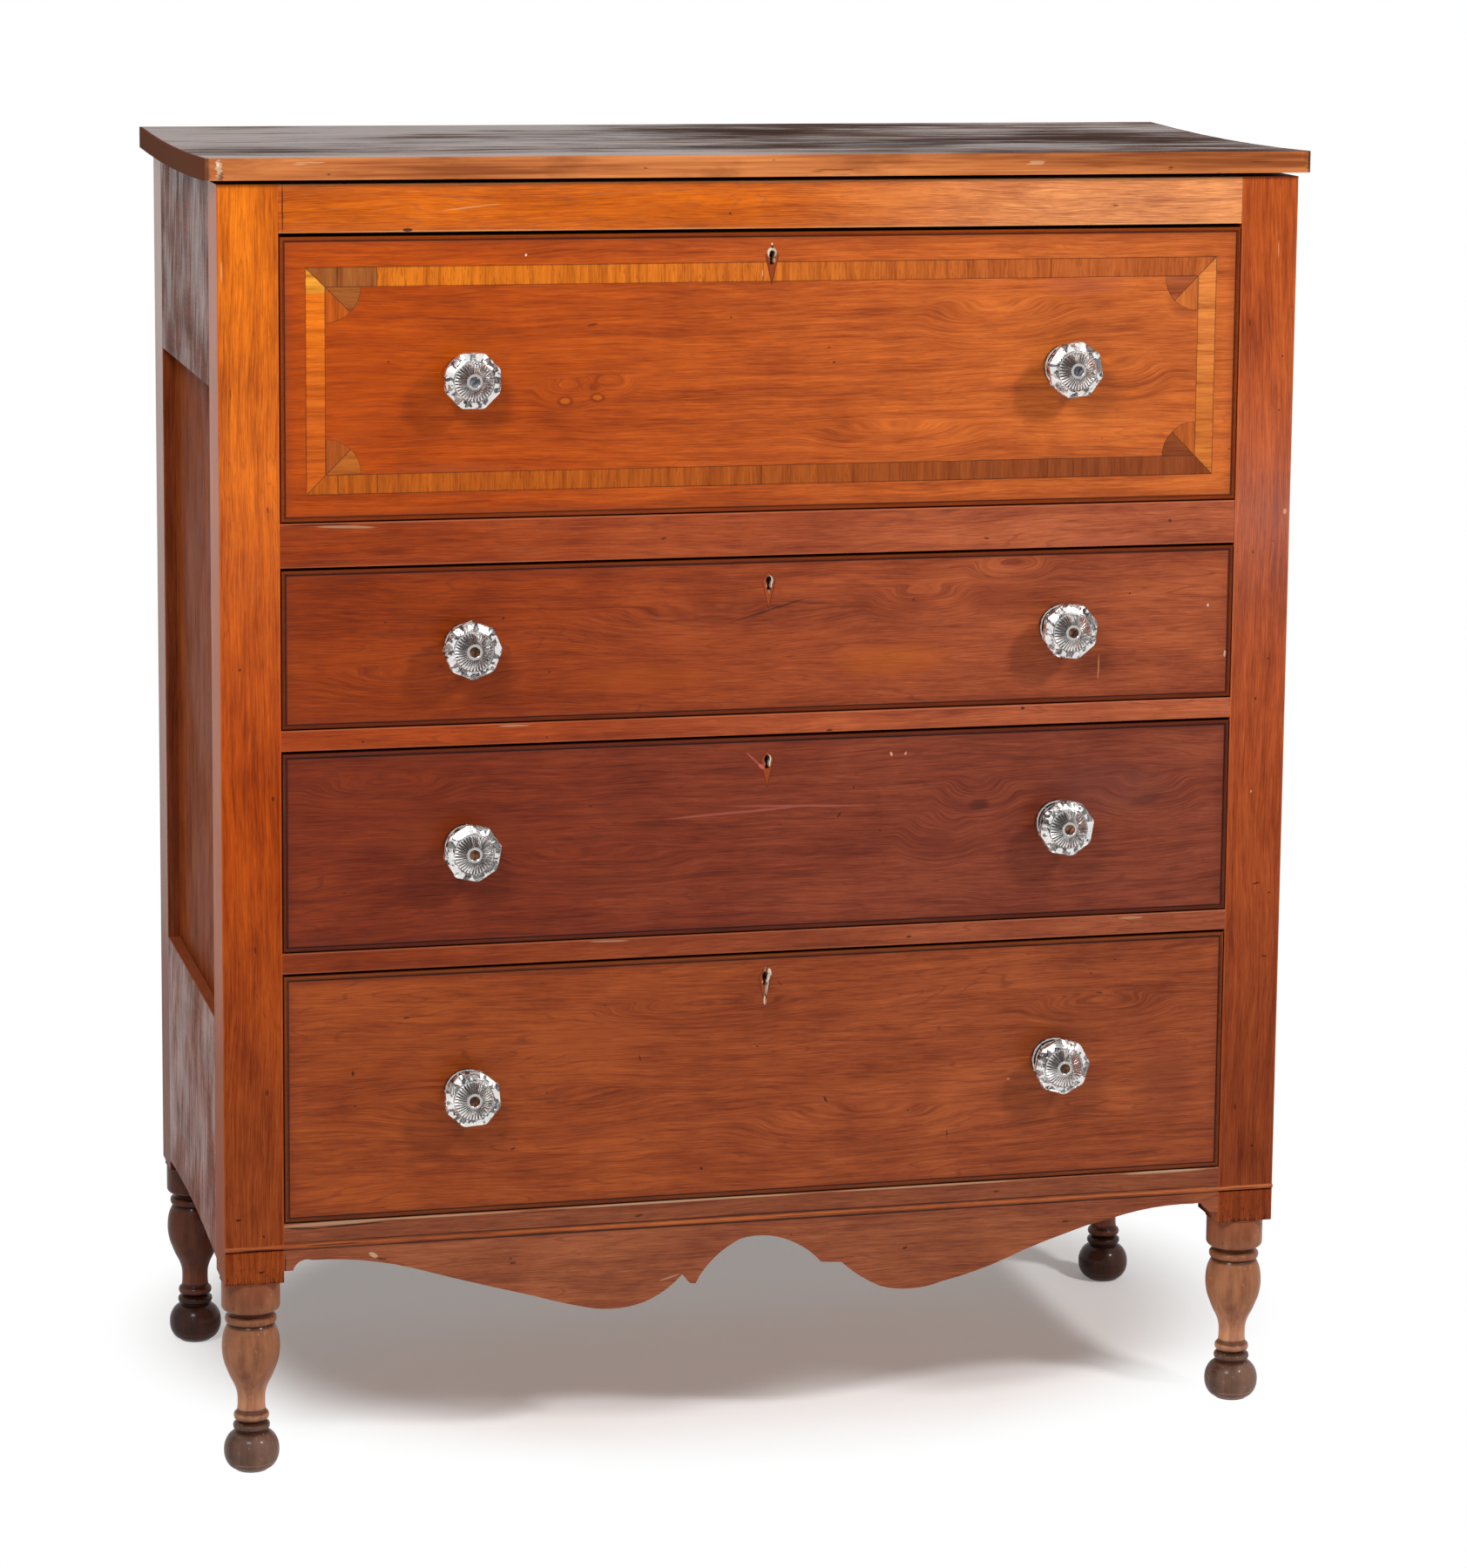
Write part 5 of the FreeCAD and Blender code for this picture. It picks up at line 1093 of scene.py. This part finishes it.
# Across and up from the keyhole, radii, tilt in degrees, colour and strength
KEYHOLE_MARKS = {
    1: keyhole_rows(1129.4, (
        (-1.2, 2.2, (3.3, 4.6), 0, CREAM, 0.85), (1.4, 2.6, (2.9, 4.2), 0, CHIP, 0.8),
        (0.3, 8.2, (0.9, 1.6), 0, PAINTED_HOLE_SHADE, 0.8), (0, 10.4, (0.9, 1.2), 0, CREAM, 0.8),
        (0.4, -4.6, (2.6, 2.6), 0, CHIP, 0.8), (-8.2, -16, (0.4, 3), 0, CREAM, 0.5),
    )),
    2: keyhole_rows(827.6, (
        (0.9, 0.4, (2.9, 4.4), 0, CREAM, 0.8), (0.4, -4.6, (2.5, 2.4), 0, CREAM, 0.8),
        (0.2, -9.4, (0.6, 2.8), 8, (150, 140, 130), 0.8),
    )),
    3: keyhole_rows(659.3, (
        (1.1, 0.2, (2.9, 4.2), 0, CREAM, 0.8), (0.5, -4.4, (2.7, 2.8), 0, CREAM, 0.85),
        (-13, 0.5, (9.5, 0.9), -44, (190, 92, 78), 0.6), (-5.6, -6.6, (3.4, 1.8), -40, (206, 104, 94), 0.75),
    )),
    4: keyhole_rows(452.3, (
        (4.4, 3.6, (1.6, 4.0), 12, CREAM, 0.85), (3.4, -1.6, (1.5, 3.6), -8, CREAM, 0.7),
        (0.4, -5.2, (3.2, 1.6), 0, CREAM, 0.8), (2.6, -12, (0.7, 6.5), -8, CREAM, 0.75),
        (1.6, -12, (0.45, 7), -8, (52, 30, 20), 0.8), (0.9, -13, (0.4, 6.0), -8, CREAM, 0.6),
        (0.1, -23, (1.2, 4.2), 0, CREAM, 0.85), (0.3, 6.4, (0.6, 2.6), 0, CREAM, 0.6),
    )),
}


# Where the grain runs round a knot: place across and up, and reach, in millimetres
FRONT_KNOTS = {
    1: (((-190, 1004), (26, 12)), ((-152, 1010), (20, 10)), ((220, 1062), (60, 22)), ((330, 1006), (44, 20)),
        ((120, 955), (70, 16))),
    2: (((-60, 782), (120, 20)), ((150, 800), (42, 16)), ((236, 830), (34, 12)), ((-330, 740), (70, 16))),
    3: (((204, 606), (34, 24)), ((166, 574), (30, 22)), ((374, 606), (40, 22)), ((-170, 560), (90, 18)),
        ((-360, 640), (60, 14))),
    4: (((-240, 330), (120, 22)), ((90, 300), (90, 20)), ((330, 400), (60, 16)), ((-60, 420), (90, 12))),
}

STAIN, ROSE = (120, 40, 4), (200, 110, 96)

# Marks on the drawer fronts, rows as on the posts
FRONT_MARKS = {
    1: (
        ((-193, 998), (7.5, 5.0), 0, 0.5, STAIN, 0.7),
        ((-193, 998.6), (4.6, 2.8), 0, 0.5, (196, 96, 20), 0.8),
        ((-163, 1001), (7.0, 4.6), 0, 0.5, STAIN, 0.7),
        ((-163, 1001.4), (4.2, 2.6), 0, 0.5, (196, 96, 20), 0.8),
        ((-168, 1068), (5.0, 1.2), 10, 0.5, DENT, 0.6), ((-230, 1132), (1.0, 1.2), 0, 0.2, CREAM, 0.9),
        ((-300, 930), (60, 14), 0, 0.9, (176, 84, 40), 0.35),
        ((300, 1100), (40, 10), 0, 0.9, (170, 84, 56), 0.4),
        ((402, 1085), (16, 18), 0, 0.9, (120, 50, 30), 0.5), ((60, 1030), (1.2, 1.2), 0, 0.2, DENT, 0.8),
        ((410, 960), (1.4, 1.8), 0, 0.2, DENT, 0.7), ((-380, 1010), (30, 60), 0, 0.9, (164, 62, 6), 0.25),
    ),
    2: (
        ((322, 736), (0.7, 11), 0, 0.4, (224, 140, 90), 0.75), ((430, 792), (0.9, 1.4), 0, 0.2, CREAM, 0.8),
        ((0, 800), (36, 1.0), 16, 0.4, DENT, 0.6), ((40, 806), (26, 0.8), -4, 0.4, DENT, 0.5),
        ((-250, 800), (1.2, 1.2), 0, 0.2, DENT, 0.8), ((120, 750), (50, 14), 0, 0.9, (176, 84, 24), 0.5),
        ((220, 806), (34, 12), 0, 0.9, (116, 44, 20), 0.5),
        ((-120, 740), (60, 12), 0, 0.9, (170, 76, 20), 0.45),
        ((452, 790), (1.0, 6.0), 0, 0.3, CREAM, 0.6), ((448, 745), (1.0, 3.0), 0, 0.3, CREAM, 0.5),
    ),
    3: (
        ((206, 608), (10, 5), 8, 0.7, (70, 26, 18), 0.6), ((166, 574), (15, 10), 0, 0.8, (104, 42, 28), 0.5),
        ((372, 606), (16, 5), 12, 0.8, (66, 28, 22), 0.5), ((120, 660), (1.2, 2.0), 20, 0.2, PALE, 0.8),
        ((134, 660), (1.0, 1.6), -20, 0.2, PALE, 0.7), ((-30, 610), (60, 1.2), 3, 0.5, ROSE, 0.35),
        ((30, 614), (70, 1.0), -2, 0.5, ROSE, 0.35), ((70, 604), (3.0, 1.0), 50, 0.3, DENT, 0.8),
        ((330, 620), (60, 24), 0, 0.9, (112, 58, 48), 0.4),
        ((-300, 600), (60, 20), 0, 0.9, (136, 56, 22), 0.4),
    ),
    4: (
        ((60, 330), (1.2, 3.2), 30, 0.3, DENT, 0.8), ((-120, 380), (0.8, 3.0), 12, 0.3, DENT, 0.7),
        ((-240, 300), (2.6, 0.8), 20, 0.3, DENT, 0.8), ((180, 290), (0.8, 3.0), 0, 0.3, DENT, 0.7),
        ((330, 420), (3.2, 0.8), -12, 0.3, DENT, 0.7), ((-340, 430), (3.0, 0.8), 0, 0.3, DENT, 0.7),
        ((14, 445), (0.6, 4.0), 40, 0.3, DENT, 0.7), ((-60, 270), (1.6, 1.6), 0, 0.2, DENT, 0.8),
        ((240, 340), (1.6, 1.0), 0, 0.2, PALE, 0.6), ((-390, 380), (1.4, 2.4), 0, 0.3, DENT, 0.8),
        ((400, 330), (24, 40), 0, 0.9, (126, 56, 34), 0.4),
        ((-160, 400), (50, 14), 0, 0.9, (158, 74, 30), 0.4),
    ),
}


class CHEST_OT_fronts(ChestOperator, bpy.types.Operator):
    """The four drawer fronts"""
    bl_idname = "chest.fronts"
    bl_label = "Drawer fronts"

    def build(self, sizes, colours):
        for number in DRAWERS:
            node = f"drawer_{number}_front"
            # The fronts' tones hold painted light falling off towards the floor as well as the wood's own
            # tone.
            ends = ((-380, getattr(colours, f"front_{number}")),
                    (380, getattr(colours, f"front_{number}_end")))
            figure, contrast, grime = (0.6, 0.9, 1.2) if number == 1 else (1.0, 1.0, 0.8)
            wood = timber(
                f"cherry_{node}", ("x", ends), "xzy", 40 + number * 1.37, edges=edge_rows(node, "x", "z"),
                figure=figure, contrast=contrast, grime=grime, groove=3.2 * MM,
                knots=FRONT_KNOTS[number], marks=(*FRONT_MARKS[number], *KEYHOLE_MARKS[number]),
            )
            dressed(node, wood, sizes.fine_arris, 0.03)


class CHEST_OT_boxes(ChestOperator, bpy.types.Operator):
    """Sides, backs and bottoms of the drawers"""
    bl_idname = "chest.boxes"
    bl_label = "Drawer boxes"

    def build(self, sizes, colours):
        for part, grain, seed in (("sides", "yzx", 51), ("back", "xzy", 52), ("bottom", "xyz", 53)):
            for number in DRAWERS:
                node = f"drawer_{number}_{part}"
                wood = poplar(f"poplar_{node}", colours.poplar, grain, seed + number)
                dressed(node, wood, sizes.fine_arris, 0.02)


class CHEST_OT_beads(ChestOperator, bpy.types.Operator):
    """The cock beads round the drawer fronts"""
    bl_idname = "chest.beads"
    bl_label = "Cock beads"

    def build(self, sizes, colours):
        for number in DRAWERS:
            node = f"drawer_{number}_cock_beads"
            tone = toned(getattr(colours, f"front_{number}"), 0.8)
            wood = timber(f"bead_{number}", tone, "xzy", 60 + number, figure=0.2, dents=0.4, grime=1.0,
                          edges=edge_rows(node, "x", "z"))
            dressed(node, wood, sizes.fine_arris, 0.001)


class CHEST_OT_inlay(ChestOperator, bpy.types.Operator):
    """Banding, quarter fans and the kites at the keyholes"""
    bl_idname = "chest.inlay"
    bl_label = "Inlay"

    def build(self, sizes, colours):
        # Bits of another tone at the top left corner: their reach across and up, and colour
        strip = (-431.5, -366, 1105.3, 1123.6), (162, 90, 38)
        corner = (-431.5, -412, 1099.8, 1123.6), (236, 152, 46)
        woods = {
            "cross": veneer("banding_across", ((222, 118, 24), (184, 92, 40), (186, 90, 20), (142, 68, 30)),
                            0.3, "z", 1.0, (strip,), KEYHOLE_MARKS[1]),
            "side": veneer("banding_sides", ((234, 117, 22), (226, 132, 62), (208, 97, 24), (212, 118, 48)),
                           1.7, "x", 0.35, (corner,)),
            "fan": veneer("fan_upright", ((160, 88, 36), (172, 86, 45), (184, 98, 34), (142, 70, 31)),
                          2.9, "x", 0.3),
            "wedge": veneer("fan_wedge", ((192, 88, 20), (200, 106, 46), (174, 84, 28), (188, 94, 36)),
                            3.3, "z", 0.4),
        }
        for number in DRAWERS:
            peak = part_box(f"drawer_{number}_inlay")[1].z
            woods[f"kite_{number}"] = kite_wood(f"kite_wood_{number}", colours.kite, peak,
                                                KEYHOLE_MARKS[number])
        kinds = list(woods)
        for number in DRAWERS:
            node = f"drawer_{number}_inlay"
            piece = loose_copy(node)
            for wood in woods.values():
                piece.data.materials.append(wood)
            low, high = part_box(node)
            for face in piece.data.polygons:
                face.material_index = kinds.index(self.kind_at(face.center, low, high, number))
            merge(piece, {"MATERIAL"})
            smooth(piece)
            finish_piece(piece, None, node)

    def kind_at(self, spot, low, high, number):
        """Which of the inlaid woods a face belongs to, by its place in the pattern."""
        across, up = abs(spot.x), spot.z
        if number > 1 or self.in_kite(spot, high.z):
            return f"kite_{number}"
        from_end, from_top, from_foot = high.x - across, BAND_TOP - up, up - low.z
        width = BAND_WIDTH + 0.01 * MM
        if from_top < width and from_top <= from_end or from_foot < width and from_foot <= from_end:
            return "cross"
        if from_end < width:
            return "side"
        return "fan" if from_end > min(from_top, from_foot) else "wedge"

    def in_kite(self, spot, peak):
        """Whether a place lies inside the kite whose upper point is at peak."""
        drop = peak - spot.z
        above, below = drop / KITE_SHOULDER, (KITE_HEIGHT - drop) / (KITE_HEIGHT - KITE_SHOULDER)
        return abs(spot.x) < KITE_HALF_WIDTH * min(above, below) + 0.02 * MM


def knob_centre(node, sign, y):
    """Centre of a pair's left (-1) or right (1) knob or bolt, which fill the ends of their node's box."""
    low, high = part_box(node)
    return Vector((sign * (high.x - (high.z - low.z) / 2), y, (low.z + high.z) / 2))


# How far each knob is turned, in degrees, by its drawer and side
KNOB_TURNS = {(1, -1): 0, (2, -1): 22, (3, -1): 13, (4, -1): -5,
              (1, 1): -10, (2, 1): 6, (3, 1): 10, (4, 1): 17}

# Outline of a knob from its foot round to the hole for the bolt, in millimetres: radius, reach and kind
KNOB_RINGS = (
    (3.0, 0.0, "round"), (12.0, 0.0, "round"), (20.6, 0.0, "round"), (21.5, 0.8, "round"),
    (21.5, 3.3, "round"), (20.9, 4.2, "round"), (19.6, 4.5, "round"), (18.9, 4.2, "round"),
    (18.2, 4.7, "round"), (16.6, 5.2, "round"), (14.4, 7.0, "round"), (12.8, 9.6, "round"),
    (12.0, 12.6, "round"), (12.0, 15.6, "round"), (12.9, 18.4, "round"), (15.4, 21.2, "round"),
    (19.4, 23.8, "octagon"), (24.4, 25.8, "octagon"), (25.5, 27.0, "octagon"), (25.5, 31.4, "octagon"),
    (24.9, 32.6, "octagon"), (20.3, 36.0, "octagon"), (18.3, 36.9, "round"), (17.9, 37.4, "flute"),
    (15.0, 38.5, "flute"), (11.0, 39.8, "flute"), (7.4, 40.5, "flute"), (6.9, 40.9, "round"),
    (5.2, 41.0, "round"), (4.9, 40.8, "round"), (3.0, 37.4, "round"),
)

# How far the flutes rise and sink at a ring, by its radius
FLUTE_DEPTH = {17.9: 0.35, 15.0: 0.7, 11.0: 0.6, 7.4: 0.3}


class CHEST_OT_knobs(ChestOperator, bpy.types.Operator):
    """The eight pressed glass knobs, octagonal with a fluted face"""
    bl_idname = "chest.knobs"
    bl_label = "Glass knobs"

    def build(self, sizes, colours):
        count = sizes.flutes * 2
        settle()
        bpy.ops.mesh.primitive_circle_add(vertices=count, radius=KNOB_RINGS[0][0] * MM)
        knob = bpy.context.object
        bpy.ops.object.mode_set(mode="EDIT")
        bpy.ops.mesh.select_all(action="SELECT")
        for ring in KNOB_RINGS[1:]:
            bpy.ops.mesh.extrude_region()
            self.shape_ring(knob, ring, count)
        bpy.ops.mesh.select_all(action="DESELECT")
        bpy.ops.mesh.select_non_manifold()
        bpy.ops.mesh.bridge_edge_loops()
        bpy.ops.mesh.select_all(action="SELECT")
        bpy.ops.mesh.normals_make_consistent(inside=False)
        bpy.ops.object.mode_set(mode="OBJECT")
        smooth(knob, 24)
        own_place = knob.data.attributes.new("knob_place", "FLOAT_VECTOR", "POINT")
        for vertex in knob.data.vertices:
            own_place.data[vertex.index].vector = vertex.co / MM
        facing = Matrix.Rotation(math.radians(90), 4, "X")
        glass = pressed_glass("pressed_glass", colours.glass, sizes.flutes)
        for number in DRAWERS:
            node = f"drawer_{number}_glass_knobs"
            pair = []
            for side, sign in SIDES.items():
                turn = Matrix.Rotation(math.radians(KNOB_TURNS[number, sign]), 4, "Y")
                place = Matrix.Translation(knob_centre(node, sign, FRONT_Y)) @ turn @ facing
                pair.append(own_copy(knob, f"{node}_{side}", place))
            piece = joined(pair)
            piece.name = f"{node}_dressed"
            finish_piece(piece, glass, node)
        drop(knob)

    def shape_ring(self, knob, ring, count):
        """Puts the ring of vertices that was just extruded on its circle, octagon or flutes."""
        radius, reach, kind = ring
        shape = bmesh.from_edit_mesh(knob.data)
        for vertex in shape.verts:
            if not vertex.select:
                continue
            angle = math.atan2(vertex.co.y, vertex.co.x)
            place = round(angle / (2 * math.pi) * count)
            out, up = radius, reach
            if kind == "octagon":
                sector = math.radians(45)
                out = radius / math.cos((angle + sector / 2) % sector - sector / 2)
                out = min(out, radius * 1.075)
            if kind == "flute":
                up += FLUTE_DEPTH[radius] * (1 if place % 2 else -1)
            vertex.co = (out * MM * math.cos(angle), out * MM * math.sin(angle), up * MM)
        bmesh.update_edit_mesh(knob.data)


# How far each bolt's slot is turned, in degrees, by its drawer and side
BOLT_TURNS = {(1, -1): -42, (2, -1): -15, (3, -1): -15, (4, -1): 0,
              (1, 1): -30, (2, 1): -32, (3, 1): -35, (4, 1): 32}


class CHEST_OT_bolts(ChestOperator, bpy.types.Operator):
    """The slotted bolts through the knobs, each turned as it was driven"""
    bl_idname = "chest.bolts"
    bl_label = "Knob bolts"

    def build(self, sizes, colours):
        steel = old_metal("bolt_steel", (0.62, 0.64, 0.66), (0.3, 0.31, 0.33), 1)
        brown = old_metal("bolt_brown", (0.6, 0.42, 0.3), (0.3, 0.19, 0.13), 2)
        for number in DRAWERS:
            node = f"drawer_{number}_knob_bolts"
            whole = copied(node)
            edit(whole)
            for sign in SIDES.values():
                bpy.ops.mesh.select_all(action="DESELECT")
                shape = bmesh.from_edit_mesh(whole.data)
                for vertex in shape.verts:
                    if vertex.co.x * sign > 0:
                        vertex.select = True
                shape.select_flush(True)
                bmesh.update_edit_mesh(whole.data)
                turn, centre = math.radians(BOLT_TURNS[number, sign]), knob_centre(node, sign, 0)
                bpy.ops.transform.rotate(value=turn, orient_axis="Y", center_override=centre)
            bpy.ops.object.mode_set(mode="OBJECT")
            smooth(whole)
            finish_piece(whole, steel if number == 1 else brown, node)


class CHEST_OT_locks(ChestOperator, bpy.types.Operator):
    """The locks and their sliding bolts"""
    bl_idname = "chest.locks"
    bl_label = "Locks"

    def build(self, sizes, colours):
        brass = old_metal("lock_brass", colours.brass, toned(colours.brass, 0.6), 3)
        for number in DRAWERS:
            dressed(f"drawer_{number}_lock", brass, sizes.fine_arris * 0.7, 0.004)
            dressed(f"drawer_{number}_lock_bolt", brass, sizes.fine_arris, 0.002)


# The photograph's viewpoint: place in metres, angles in degrees, and how far the frame is shifted
CAMERA_PLACE, CAMERA_SHIFT = (-1.0797, -4.4535, 1.5005), (-0.0239, -0.1283)
CAMERA_TILT, CAMERA_TURN, CAMERA_ROLL = 8.768, -14.314, 0.562
LAMP_AIM = Vector((0, -0.1, 0.7))
FLOOR_SIZE = 60
PLAIN_WHITE = (1, 1, 1, 1)


class CHEST_OT_stage(bpy.types.Operator):
    """Camera, lamps, white surroundings and the floor"""
    bl_idname = "chest.stage"
    bl_label = "Stage"

    def execute(self, context):
        stage = context.scene.chest_stage
        settle()
        bpy.ops.object.camera_add(location=CAMERA_PLACE)
        camera = context.object
        aim = Euler((math.radians(90 - CAMERA_TILT), 0, math.radians(CAMERA_TURN))).to_matrix()
        camera.rotation_euler = (aim @ Matrix.Rotation(math.radians(CAMERA_ROLL), 3, "Z")).to_euler()
        camera.data.lens = stage.focal
        camera.data.shift_x, camera.data.shift_y = CAMERA_SHIFT
        camera.data.clip_end = 200
        context.scene.camera = camera

        for place, size, power in (
            ((-1.35, -2.1, 2.55), 0.8, stage.left_power),
            ((1.9, -2.3, 2.7), 0.42, stage.right_power),
        ):
            bpy.ops.object.light_add(type="AREA", location=place)
            lamp = context.object
            lamp.data.size = size
            lamp.data.energy = power
            lamp.rotation_euler = (LAMP_AIM - Vector(place)).to_track_quat("-Z", "Y").to_euler()

        world = bpy.data.worlds.new("surroundings")
        context.scene.world = world
        sky = Finish(world)
        strength = sky.seen() * (1 - stage.fill) + stage.fill
        background = sky.node("ShaderNodeBackground", {}, {"Color": PLAIN_WHITE, "Strength": strength})
        sky.node("ShaderNodeOutputWorld", {}, {"Surface": background})

        settle()
        bpy.ops.mesh.primitive_plane_add(size=FLOOR_SIZE, location=(0, 0, 0))
        floor = context.object
        floor.name = "floor"
        floor.data.materials.append(self.floor_paint())
        context.scene.view_settings.view_transform = "Standard"
        settle()
        return {"FINISHED"}

    def floor_paint(self):
        """White floor that keeps the shadow near the chest and fades to plain white further off."""
        finish = new_finish("floor_white")
        x, y, z = finish.place()
        seen = finish.seen()
        # An ellipse under the chest, a little to its right and behind it, keeps the shadow
        wide, deep = (x - 0.04) / 0.61, (y - 0.21) / 0.5
        far = finish.rise((wide * wide + deep * deep) ** 0.5, 0.7, 1.02).most(
            finish.rise(y, -0.08, -0.3) * 0.9)
        marks = finish.noise((x, y, z), scale=5.0, detail=3.0)
        paint = finish.mix(finish.rise(marks, 0.4, 0.7) * 0.05, (0.98, 0.96, 0.95), (0.88, 0.86, 0.85))
        lit = finish.node("ShaderNodeBsdfDiffuse", {}, {"Color": paint})
        glow = finish.node("ShaderNodeEmission", {}, {"Color": (1, 0.96, 0.94, 1), "Strength": 0.18})
        both = finish.node("ShaderNodeAddShader", {}, {0: lit, 1: glow})
        near = finish.node("ShaderNodeMixShader", {}, {0: seen, 1: lit, 2: both})
        white = finish.node("ShaderNodeEmission", {}, {"Color": PLAIN_WHITE, "Strength": 1.0})
        surface = finish.node("ShaderNodeMixShader", {}, {0: far * seen, 1: near, 2: white})
        return finish.show(surface)


PIECES = (
    CHEST_OT_posts, CHEST_OT_top, CHEST_OT_rails, CHEST_OT_sides, CHEST_OT_back, CHEST_OT_fronts,
    CHEST_OT_boxes, CHEST_OT_beads, CHEST_OT_inlay, CHEST_OT_knobs, CHEST_OT_bolts, CHEST_OT_locks,
    CHEST_OT_stage,
)


class CHEST_PT_panel(bpy.types.Panel):
    """Lists the pieces of the chest"""
    bl_idname = "CHEST_PT_panel"
    bl_label = "Chest of drawers"
    bl_space_type = "VIEW_3D"
    bl_region_type = "UI"
    bl_category = "Chest"

    def draw(self, context):
        for piece in PIECES:
            self.layout.operator(piece.bl_idname)


CLASSES = (ChestSizes, ChestColours, StageSettings, *PIECES, CHEST_PT_panel)


def register():
    for item in CLASSES:
        bpy.utils.register_class(item)
    bpy.types.Scene.chest_sizes = bpy.props.PointerProperty(type=ChestSizes)
    bpy.types.Scene.chest_colours = bpy.props.PointerProperty(type=ChestColours)
    bpy.types.Scene.chest_stage = bpy.props.PointerProperty(type=StageSettings)


def unregister():
    del bpy.types.Scene.chest_stage
    del bpy.types.Scene.chest_colours
    del bpy.types.Scene.chest_sizes
    for item in reversed(CLASSES):
        bpy.utils.unregister_class(item)


def main():
    """Builds all pieces in order."""
    register()
    settle()
    for piece in PIECES:
        group, name = piece.bl_idname.split(".")
        getattr(getattr(bpy.ops, group), name)()


if __name__ == "__main__":
    main()
